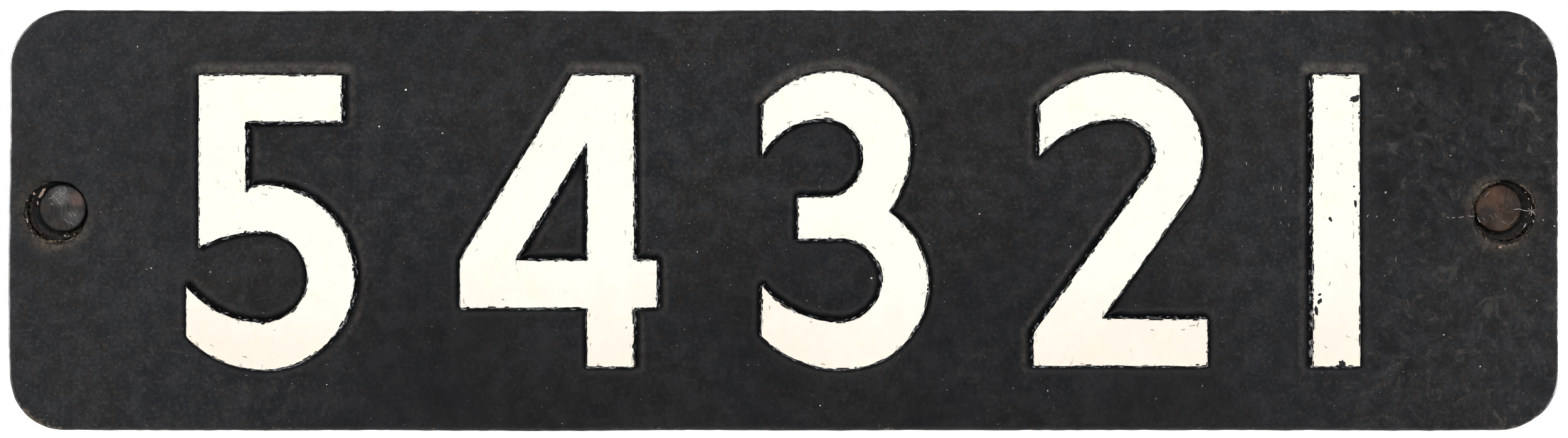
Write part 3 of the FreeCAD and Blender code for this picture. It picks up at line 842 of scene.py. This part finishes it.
def blot(centre, size, turn, rng, count=18):
    """A small ragged outline, as of a chip."""
    angles = np.arange(count) * TAU / count
    ragged = 1 + 0.22 * rng.uniform(-1, 1, count)
    shape = np.column_stack([np.cos(angles) * size[0] / 2, np.sin(angles) * size[1] / 2]) * ragged[:, None]
    c, s = math.cos(turn), math.sin(turn)
    return np.array(centre) + shape @ np.array([[c, s], [-s, c]])


# Chips in the enamel: across and up from the numeral's lower left corner, width, height, turn
CHIPS = {
    "five": [(23.3, 52.5, 1.4, 0.9, 0.8), (65.6, 38.0, 0.9, 1.6, 0.0), (30.0, 16.9, 1.6, 0.9, 0.1)],
    "four": [(67.6, 8.0, 0.9, 1.5, 0.1), (49.7, 62.0, 0.7, 1.4, 0.0), (3.0, 23.2, 1.5, 0.8, 0.0)],
    "three": [(58.0, 83.0, 0.9, 1.8, 0.0), (33.0, 17.6, 1.5, 0.6, 0.0), (64.6, 30.0, 0.8, 1.3, 0.0)],
    "two": [(31.0, 19.0, 1.2, 0.8, 0.9), (67.8, 82.0, 0.8, 1.6, 0.0), (64.0, 0.6, 1.6, 0.8, 0.0)],
    "one": [
        (16.6, 104.6, 4.8, 2.5, 0.35), (18.2, 98.9, 1.2, 1.0, 0.0), (16.7, 63.6, 1.2, 3.0, 0.1),
        (16.2, 70.4, 0.9, 0.7, 0.1),
        (7.0, 57.6, 1.2, 2.2, 0.5), (2.7, 28.2, 1.6, 1.0, 0.4), (2.6, 25.5, 2.4, 1.5, 0.9),
        (1.3, 21.8, 1.5, 3.8, 0.15),
        (11.3, 1.0, 2.6, 2.8, 0.3), (9.6, 0.2, 1.7, 1.0, 0.0), (3.2, 113.6, 1.6, 0.8, 0.0),
        (13.4, 113.7, 2.0, 0.9, 0.0),
    ],
}
# Brown scuffs on the enamel of the last numeral: lines across and up from its lower left corner
SCUFFS = [
    [(15.9, 102.6), (15.3, 101.9), (15.8, 101.2)], [(15.4, 98.6), (15.8, 97.6), (15.4, 96.9)],
    [(15.2, 95.2), (15.6, 94.4)], [(15.8, 93.4), (15.4, 92.4), (15.9, 91.8)], [(14.9, 87.9), (14.7, 86.9)],
    [(15.5, 57.0), (15.8, 55.0)], [(15.9, 52.6), (15.7, 50.0)], [(1.2, 113.0), (2.6, 112.4), (4.2, 113.1)],
    [(12.0, 112.9), (13.6, 112.3), (15.0, 112.8)], [(17.6, 109.0), (17.7, 107.4)], [(5.3, 101.0), (5.6, 100.4)],
    [(9.4, 76.0), (9.9, 75.2)], [(10.6, 79.4), (11.4, 78.9)], [(3.4, 68.0), (3.0, 66.8)],
    [(12.6, 40.0), (13.4, 38.4)], [(6.8, 33.0), (6.2, 31.6)], [(13.0, 12.0), (14.4, 11.2)], [(4.4, 8.0), (5.4, 7.2)],
]


def enamel_coat(name, left, loops):
    """The enamel on one numeral: a thin skin with a ragged edge, broken by chips."""
    rng = np.random.default_rng(len(name) * 7 + int(left + 400))
    edges = []
    for loop in loops:
        base = even(loop, 0.5)
        x, z = base.T
        off = -0.10 + 0.20 * lumps(x, z, 1.4, 51) + 0.16 * lumps(x, z, 5.5, 52)
        off += 0.35 * np.maximum(lumps(x, z, 3.1, 53) - 0.55, 0) - 0.9 * np.maximum(lumps(x, z, 2.3, 54) - 0.62, 0)
        edges.append(base + outward(base) * off[:, None])
    chips = [blot((left + x, BASE + z), (wide, high), turn, rng) for x, z, wide, high, turn in CHIPS[name]]
    grid = lattice(np.vstack(edges).min(0), np.vstack(edges).max(0), 1.9)
    grid += rng.uniform(-0.3, 0.3, grid.shape)
    grid = grid[inside(grid, edges) & (NEARNESS.at(grid) < -1.5)]
    bend = np.vstack([ring(loop, -0.75, 0.9) for loop in loops])
    links, total = [], 0
    for loop in edges + chips:
        links += [(total + i, total + (i + 1) % len(loop)) for i in range(len(loop))]
        total += len(loop)
    points = np.vstack([*edges, *chips, grid, bend[inside(bend, edges)]])
    made = delaunay_2d_cdt([Vector(p) for p in points], links, [], 0, 1e-7, False)
    placed = np.array([tuple(v) for v in made[0]])
    faces = np.array([list(f) for f in made[2]], int)
    middles = placed[faces].mean(1)
    chipped = np.logical_or.reduce([inside(middles, [chip]) for chip in chips])
    faces = facing(placed, faces[inside(middles, edges) & ~chipped], 1)
    used, faces = np.unique(faces, return_inverse=True)
    placed, faces = placed[used], faces.reshape(-1, 3)

    x, z = placed.T
    dx, dz = wander(x, z)
    near = NEARNESS.at(placed)
    y = FACE_Y - np.interp(near, SIDE[:, 0], SIDE[:, 1]) - grain(x, z)
    brushed = 0.04 * lumps(x, z, 6, 61) + 0.03 * lumps(x, z, 2.4, 62)
    skin = np.vstack([np.column_stack([x + dx, deep, z + dz]) for deep in (y - 0.17 - brushed, y + 0.12)])
    sides = {}
    for a, b, c in faces:
        for p, q in ((a, b), (b, c), (c, a)):
            if (q, p) in sides:
                del sides[q, p]
            else:
                sides[p, q] = True
    n = len(placed)
    faces = [*map(tuple, faces), *map(tuple, n + faces[:, ::-1]), *((q, p, n + p, n + q) for p, q in sides)]
    mesh_object(
        f"numeral_enamel_{name}", skin, faces, ENAMEL, smooth=False,
        attributes={"inset": np.tile(-near, 2)},
    )


# The fixings


def turned(kind, side, profile, count, material, slot, wobble, seed, shape=None, closed=True):
    """A body turned about its side's bolt axis: radius and depth along the profile, which closes on itself, or
    else ends in two flat caps. A shape may change the radius by angle and depth."""
    angles = np.arange(count) * TAU / count
    cos, sin = np.cos(angles), np.sin(angles)
    across, up = BOLT[side]
    vertices, rings = [], []
    for radius, depth in profile:
        radii = np.full(count, float(radius))
        if shape:
            radii = shape(radii, angles, depth)
        stray = lumps(radii * cos + 7 * depth, radii * sin, 2.5, seed)
        radii = radii + wobble * (stray + lumps(40 * cos, 40 * sin + 9 * depth, 14, seed + 1))
        deep = depth + wobble * min(1, radius / 3) * lumps(radii * cos, radii * sin, 2.0, seed + 2)
        rings.append(len(vertices) + np.arange(count))
        vertices += list(np.column_stack([across + radii * cos, deep, up + radii * sin]))
    following = rings[1:] + (rings[:1] if closed else [])
    faces = [face for a, b in zip(rings, following) for face in bridge(b, a)]
    if not closed:
        faces += [tuple(rings[0]), tuple(rings[-1][::-1])]
    mesh_object(f"{kind}_{side}_worn", vertices, faces, material, [f"{kind}_{side}"])


def bolt(side):
    head, shank, tail, start, end = 9.15, 6.35, 5.9, -8.0, 27.6
    pitch, cut, thread_start, thread_end = 2.1, 0.75, 10.6, end - 1.2
    profile = [(r, start + 0.30 * (r / 9) ** 2) for r in (0.08, 0.8, 1.6, 2.8, 4.0, 5.2, 6.3, 7.3, 8.1)]
    profile += [(8.6, start + 0.36), (8.95, start + 0.55), (9.1, start + 0.85), (head, start + 1.3)]
    profile += [(head, -5.5), (head, -4.25), (8.9, -4.0), (shank, -4.0)]
    profile += [(shank, y) for y in np.arange(-3.0, 10.1, 2.0)] + [(shank, 9.95), (tail, 10.3)]
    profile += [(tail, y) for y in np.arange(thread_start, thread_end, 0.30)]
    profile += [(tail - 0.6, end - 0.6), (tail - 1.2, end - 0.05), (3.0, end), (0.08, end)]

    def thread(radii, angles, depth):
        wave = (depth / pitch - angles / TAU) % 1
        return radii - cut * np.abs(2 * wave - 1) if thread_start <= depth < thread_end else radii

    seed = 71 if side == "left" else 75
    turned("fixing_bolt", side, profile, 72, BOLT_FINISH[side], "bolt_steel", 0.05, seed, thread, closed=False)


def washer(side):
    outer, inner, front, back = 14.3, 6.75, 10.0, 12.6
    profile = [(inner, front + 0.2), (inner + 0.2, front), (outer - 0.4, front), (outer, front + 0.35)]
    profile += [(outer, back - 0.6), (outer - 0.25, back - 0.2), (outer - 0.7, back)]
    profile += [(inner + 3, back), (inner + 0.3, back), (inner, back - 0.3)]
    turned("bolt_washer", side, profile, 72, WASHER_FINISH, "washer_steel", 0.03, 81)


def nut(side):
    flats, bore, front, back = 11.7, 6.0, 12.6, 23.6
    corner = flats / math.cos(math.pi / 6)
    profile = [(bore, front + 0.4), (bore + 0.5, front), (corner - 0.9, front), (corner, front + 0.4)]
    profile += [(corner, y) for y in (15, 17.5, 20, 21, 21.8, 22.4, 22.9, 23.3, back)]
    profile += [(flats - 0.6, back), (bore + 1.2, back), (bore + 0.6, back - 0.1), (bore, back - 0.8)]

    def hexagon(radii, angles, depth):
        turn = (angles + math.pi / 6 + 0.35) % (math.pi / 3) - math.pi / 6
        cone = flats + (back - depth) / math.tan(math.radians(30)) + 0.05
        return np.where(radii > bore + 1, np.minimum(np.minimum(flats / np.cos(turn), cone), radii), radii)

    turned("bolt_nut", side, profile, 96, NUT_FINISH, "nut_steel", 0.03, 91, hexagon)


# Dirt in and around the recesses, and marks on the face


def tube(rows, columns, first=0):
    """Faces between rows of points that run round a body."""
    row = first + np.arange(columns)
    return [face for i in range(rows - 1) for face in bridge(row + i * columns, row + (i + 1) * columns)]


def crumb(middle, size, turn, rng):
    """A small rough lump: its points and faces. The size is across, deep and up."""
    rows, columns = 5, 9
    points = [(0, 0, -0.5)]
    for i in range(1, rows):
        a = math.pi * i / rows
        for j in range(columns):
            b = TAU * j / columns
            r = 0.5 * (1 + 0.30 * rng.uniform(-1, 1))
            points.append((r * math.sin(a) * math.cos(b), r * math.sin(a) * math.sin(b), -r * math.cos(a)))
    top = len(points)
    faces = [(0, 1 + (j + 1) % columns, 1 + j) for j in range(columns)] + tube(rows - 1, columns, 1)
    faces += [(top, top - columns + j, top - columns + (j + 1) % columns) for j in range(columns)]
    x, y, z = (np.array(points + [(0, 0, 0.5)]) * size).T
    c, s = math.cos(turn), math.sin(turn)
    return np.column_stack([c * x - s * z, y, s * x + c * z]) + middle, faces


def strand(path, radii, flat=1.0, sides=6):
    """A thin round body along a path in mm, with these radii at its points: its points and faces."""
    path = np.array(path, float)
    along = np.gradient(path, axis=0)
    along /= np.linalg.norm(along, axis=1)[:, None]
    across = np.cross(along, (0, 1, 0))
    across /= np.linalg.norm(across, axis=1)[:, None]
    deep = np.cross(along, across)
    points = [
        path[k] + radii[k] * (math.cos(a) * across[k] + flat * math.sin(a) * deep[k])
        for k in range(len(path)) for a in TAU * np.arange(sides) / sides
    ]
    faces = tube(len(path), sides)
    faces += [tuple(range(sides))[::-1], tuple(range((len(path) - 1) * sides, len(path) * sides))]
    return np.array(points), faces


def together(name, parts, material):
    """One piece of several small bodies."""
    points, faces, total = [], [], 0
    for some, some_faces in parts:
        points.append(some)
        faces += [tuple(total + i for i in f) for f in some_faces]
        total += len(some)
    mesh_object(name, np.vstack(points), faces, material)


def scuffs():
    """Short brown lines scratched on the enamel, most of them near its edges."""
    rng = np.random.default_rng(61)
    lines = [[(NUMERALS[-1]["left"] + x, BASE + z) for x, z in line] for line in SCUFFS]
    for numeral in NUMERALS[:-1]:
        loop = even(numeral["loops"][0], 1.0)
        for i in rng.choice(len(loop), 16, replace=False):
            start = loop[i] - outward(loop)[i] * rng.uniform(1.0, 4.5)
            way = (loop[(i + 2) % len(loop)] - loop[i]) * rng.uniform(0.4, 1.1) + rng.uniform(-0.5, 0.5, 2)
            lines.append([start, start + 0.5 * way + rng.uniform(-0.15, 0.15, 2), start + way])
    kept = [line for line in lines if NEARNESS.at(np.array(line, float)).max() < -0.7]
    return marks(kept, FACE_Y - RELIEF - 0.27, 0.16, 62)


def ridge(side, radius, first, last, thick, depth, seed):
    """A rough ridge of dried paint in a recess, about the bolt, between two angles in degrees."""
    rng = np.random.default_rng(seed)
    angles = np.radians(np.arange(first, last, 4.0))
    stray = radius + 0.30 * rng.uniform(-1, 1, len(angles))
    path = np.column_stack([
        RECESS[side][0] + stray * np.cos(angles), depth + 0.2 * rng.uniform(-1, 1, len(angles)),
        RECESS[side][1] + stray * np.sin(angles),
    ])
    radii = thick * (1 + 0.35 * rng.uniform(-1, 1, len(angles)))
    taper = np.minimum(1, np.minimum(np.arange(len(angles)) + 0.4, len(angles) - 0.6 - np.arange(len(angles))) / 4)
    return strand(path, radii * taper, 1.0, 8)


def scatter(side, first, last, near, far, count, size, seed, low=-9.3, high=-7.6):
    """Crumbs strewn about a recess between two angles in degrees and two distances."""
    rng = np.random.default_rng(seed)
    made = []
    for _ in range(count):
        a, r = math.radians(rng.uniform(first, last)), rng.uniform(near, far)
        width = size * rng.uniform(0.5, 1.5)
        middle = (RECESS[side][0] + r * math.cos(a), rng.uniform(low, high), RECESS[side][1] + r * math.sin(a))
        extent = (width, 0.45 * width, width * rng.uniform(0.4, 0.9))
        made.append(crumb(middle, extent, a + math.pi / 2 + rng.uniform(-0.5, 0.5), rng))
    return made


def bits(places, seed):
    """Crumbs at places: across, up, front, width, height, turn."""
    rng = np.random.default_rng(seed)
    return [crumb((x, y, z), (w, 0.4 * min(w, h), h), turn, rng) for x, z, y, w, h, turn in places]


def marks(lines, front, radius, seed):
    """Thin marks or hairs along lines of points across and up."""
    rng = np.random.default_rng(seed)
    made = []
    for line in lines:
        line = np.array(line, float)
        path = np.column_stack([line[:, 0], np.full(len(line), front), line[:, 1]])
        made.append(strand(path, radius * rng.uniform(0.5, 1.3, len(line)), 0.5, 5))
    return made


together("enamel_scuffs", scuffs(), crust("scuffed_enamel", (0.30, 0.24, 0.18), (0.62, 0.53, 0.43), 83))
together("recess_ridges_left", [
    ridge("left", 10.7, 150, 325, 0.95, -5.3, 1), ridge("left", 11.9, 165, 300, 0.65, -8.1, 2),
    ridge("left", 12.6, 195, 320, 0.5, -9.1, 3), ridge("left", 12.1, 95, 150, 0.45, -8.9, 4),
    *scatter("left", 150, 330, 9.4, 12.4, 26, 1.5, 5, -7.5, -5.0),
], DARK_CRUST)
together("recess_dirt_left", [
    *scatter("left", 205, 325, 11.3, 12.9, 24, 1.1, 6, -9.5, -8.6),
    *scatter("left", 110, 205, 11.6, 12.8, 12, 0.8, 7, -9.4, -8.6), ridge("left", 12.2, 225, 268, 0.4, -9.2, 8),
    ridge("left", 12.3, 288, 318, 0.35, -9.3, 9),
], TAN_CRUST)
together("recess_flakes_left", bits([
    (-291.5, 10.4, -8.9, 1.3, 3.4, -0.5), (-290.5, 12.0, -9.0, 1.0, 1.8, -0.9), (-294.2, 10.6, -9.2, 0.9, 1.2, 0.3),
    (-293.0, 6.9, -8.4, 0.7, 1.5, 0.1),
], 11), PINK_CRUST)
together("recess_bits_left", bits([
    (-296.9, 0.0, -9.3, 0.6, 1.9, 0.15), (-293.2, -6.7, -9.0, 1.2, 0.8, 0.4), (-288.4, -8.2, -9.1, 1.5, 0.7, 0.2),
    (-282.2, -6.0, -8.4, 1.3, 0.6, -0.3), (-280.9, -6.2, -8.3, 0.6, 0.5, 0.0), (-285.6, -8.7, -9.2, 0.5, 0.5, 0.0),
    (-278.3, -6.6, -9.2, 0.8, 0.3, 0.6), (-295.4, -4.0, -9.3, 0.4, 0.8, 0.3),
], 12), PALE_CRUST)
together("recess_ridges_right", [
    ridge("right", 10.8, 205, 330, 0.9, -5.2, 21), ridge("right", 12.2, 205, 345, 0.55, -8.9, 22),
    ridge("right", 11.9, 100, 205, 0.6, -8.8, 23), ridge("right", 12.8, 215, 300, 0.45, -9.2, 24),
    *scatter("right", 200, 350, 9.6, 12.5, 24, 1.4, 25, -7.5, -5.0),
], DARK_CRUST)
together("recess_dirt_right", [
    ridge("right", 12.4, 105, 165, 0.5, -9.1, 26), ridge("right", 13.1, 235, 300, 0.4, -9.3, 27),
    ridge("right", 12.7, 5, 70, 0.3, -9.3, 28), *scatter("right", 95, 200, 11.5, 12.9, 22, 0.9, 29, -9.4, -8.7),
    *scatter("right", 205, 330, 12.0, 14.0, 26, 0.9, 30, -9.5, -9.1),
], TAN_CRUST)
together("recess_flakes_right", bits([
    (273.2, -4.6, -9.1, 1.1, 1.7, 0.5), (274.3, -6.0, -9.1, 0.6, 0.9, 0.3), (281.1, -10.3, -9.4, 1.5, 1.2, 0.2),
    (279.9, -9.0, -9.2, 0.6, 0.8, 0.0),
], 31), PINK_CRUST)
together("recess_bits_right", bits([
    (294.1, -0.2, -9.4, 0.7, 1.0, 0.2), (297.8, 0.2, -9.8, 0.5, 0.7, 0.0), (302.2, -2.1, -9.8, 0.5, 0.7, 0.1),
    (290.8, -2.0, -9.2, 0.5, 2.2, -0.5), (292.3, 8.5, -9.4, 0.5, 0.7, 0.4), (291.0, 11.0, -9.5, 0.5, 0.4, 0.0),
    (295.3, -31.5, -9.7, 0.6, 0.6, 0.0), (292.0, -13.5, -9.7, 0.6, 0.4, 0.2), (227.2, 0.9, -9.7, 1.1, 0.6, 0.6),
    (229.0, 1.8, -9.7, 1.0, 0.4, 0.9), (232.6, 1.6, -9.7, 0.5, 0.7, 0.1), (239.2, 0.2, -9.7, 0.8, 0.5, 0.3),
    (236.0, 11.0, -9.8, 0.8, 0.8, 0.0), (261.5, 25.5, -9.7, 0.6, 0.5, 0.1), (281.5, 35.0, -9.7, 0.5, 0.5, 0.0),
], 32), PALE_CRUST)
together("recess_hairs_right", marks([
    [(286.3, 4.2), (288.2, 4.6), (290.6, 3.9), (292.6, 3.7), (294.9, 3.2)],
    [(293.2, 5.6), (293.6, 3.6), (293.1, 1.9)], [(291.9, 4.8), (293.5, 3.6), (295.2, 4.5)],
    [(292.2, 2.6), (293.5, 3.6), (295.1, 2.0)],
], -9.6, 0.13, 33) + marks([
    [(268.2, 1.9), (269.8, 1.6), (271.3, 1.8)], [(262.0, 1.0), (263.4, 1.2)], [(264.8, 1.1), (266.6, 1.5)],
    [(260.0, 1.3), (260.9, 1.2)], [(272.1, 1.3), (272.6, 0.2), (273.2, -0.8)], [(192.0, 13.2), (192.2, 12.0)],
    [(195.0, 13.4), (195.1, 11.8)], [(196.6, 8.2), (196.9, 7.0)], [(194.9, -0.4), (195.1, -1.5)],
    [(198.0, -1.2), (198.2, -2.4)], [(181.4, 23.0), (181.6, 21.8)], [(240.2, -14.2), (240.0, -16.0)],
    [(-168.2, -26.5), (-169.0, -30.0)],
], -9.62, 0.12, 34), PALE_CRUST)
together("head_scratches_left", marks([
    [(-286.9, 9.8), (-286.0, 10.9), (-284.9, 11.4), (-284.2, 10.6), (-284.5, 9.2), (-285.6, 8.4),
     (-286.8, 8.9), (-286.9, 9.8)],
    [(-284.5, 12.6), (-284.0, 11.2), (-283.1, 10.6), (-282.1, 11.2), (-281.9, 12.4), (-282.9, 13.2)],
    [(-283.9, 10.0), (-283.0, 9.0), (-282.2, 9.4), (-282.6, 10.4), (-283.9, 10.0)],
    [(-289.0, 8.6), (-287.6, 8.9), (-286.9, 9.6)], [(-285.6, 8.4), (-285.2, 7.2), (-284.0, 6.6)],
    [(-282.2, 9.4), (-281.3, 8.2)], [(-288.0, 6.8), (-286.9, 6.0)], [(-281.0, 3.2), (-279.6, 1.6)],
    [(-279.6, 3.4), (-278.2, 1.8)], [(-282.6, 0.6), (-280.8, -1.2)], [(-280.4, -0.6), (-278.9, -1.7)],
], -8.12, 0.10, 35), crust("scratched_steel", grey(0.25), grey(0.55), 79))
# scratches on the right bolt head, and a painted glint along the lower right edge of the head
together("head_scratches_and_painted_glint_right", marks([
    [(284.6, -1.7), (285.9, -0.8), (287.0, 0.4), (287.8, 1.8)], [(282.0, -0.2), (283.6, -1.2)],
    [(275.0, 9.0), (277.4, 11.6)], [(277.4, 2.2), (278.8, 0.4)], [(279.2, 2.8), (280.2, 1.2)],
    [(274.6, 1.2), (275.4, -0.2)],
], -8.08, 0.09, 36), crust("glint_steel", grey(0.16, (1, 0.9, 0.8)), grey(0.42), 81))

cast_plate()
for numeral in NUMERALS:
    enamel_coat(**numeral)
for side in BOLT:
    bolt(side)
    washer(side)
    nut(side)


# The studio


def studio_world(front, behind):
    """A world that the camera sees white, and that lights the plate weakly from the front and more from behind."""
    world = bpy.data.worlds.new("studio")
    bpy.context.scene.world = world
    world.use_nodes = True
    world.node_tree.nodes.clear()
    w = Nodes(world.node_tree)
    way = w.node("ShaderNodeSeparateXYZ", {"Vector": w.node("ShaderNodeTexCoord").outputs["Generated"]}).outputs["Y"]
    inputs = {"Value": way, "From Min": -0.25, "From Max": 0.25, "To Min": front, "To Max": behind}
    level = w.node("ShaderNodeMapRange", inputs).outputs["Result"]
    light, white = (w.node("ShaderNodeBackground", {"Color": grey(1), "Strength": power}) for power in (level, 1.0))
    seen = w.node("ShaderNodeLightPath").outputs["Is Camera Ray"]
    both = w.node("ShaderNodeMixShader", {0: seen, 1: light.outputs[0], 2: white.outputs[0]})
    w.node("ShaderNodeOutputWorld", {"Surface": both.outputs[0]})


def softbox(name, place, target, size, power, spread=math.pi):
    light = bpy.data.lights.new(name, "AREA")
    light.shape = "RECTANGLE"
    light.size, light.size_y = size
    light.energy = power
    light.spread = spread
    lamp = new_object(name, light)
    lamp.location = place
    lamp.rotation_euler = (Vector(target) - Vector(place)).to_track_quat("-Z", "Y").to_euler()


def white_floor(level, reach, sides=96):
    """A pale round floor below the plate, which the camera sees white."""
    f = Finish("stage_white")
    seen = f.node("ShaderNodeLightPath").outputs["Is Camera Ray"]
    f.shade(Base_Color=grey(0.86), Roughness=0.9, Specular_IOR_Level=0.0)
    f.shade(Emission_Color=grey(1), Emission_Strength=f.times(seen, 0.9))
    angles = np.arange(sides) * TAU / sides
    mesh = bpy.data.meshes.new("stage")
    mesh.from_pydata([(reach * math.cos(a), reach * math.sin(a), level) for a in angles], [], [tuple(range(sides))])
    mesh.materials.append(f.material)
    new_object("stage", mesh)


studio_world(0.05, 0.85)
white_floor(-0.36, 8.0)
softbox("left_box", (-0.95, -1.05, 0.30), (0, 0, 0), (0.45, 0.8), 5.5)
softbox("right_box", (0.95, -1.05, 0.30), (0, 0, 0), (0.45, 0.8), 5.5)
softbox("top_box", (0, -1.10, 0.72), (0, 0, 0), (1.2, 0.4), 6.6)
softbox("right_edge_strip", (1.1, 0.22, 0.05), (0.305, -0.006, 0), (0.12, 0.7), 5.0, 0.7)
softbox("left_edge_strip", (-1.1, 0.22, 0.20), (-0.305, -0.006, 0), (0.12, 0.7), 2.5, 0.7)

DISTANCE, SHOWN_WIDTH, SENSOR_WIDTH = 1.25, 0.6152, 36
camera_data = bpy.data.cameras.new("camera")
camera_data.sensor_width = SENSOR_WIDTH
camera_data.lens = SENSOR_WIDTH * DISTANCE / SHOWN_WIDTH
camera = new_object("camera", camera_data)
camera.location = (0.00006, FACE_Y * MM - DISTANCE, 0.0006)
camera.rotation_euler = (math.pi / 2, 0, 0)
bpy.context.scene.camera = camera
bpy.context.scene.view_settings.view_transform = "Standard"
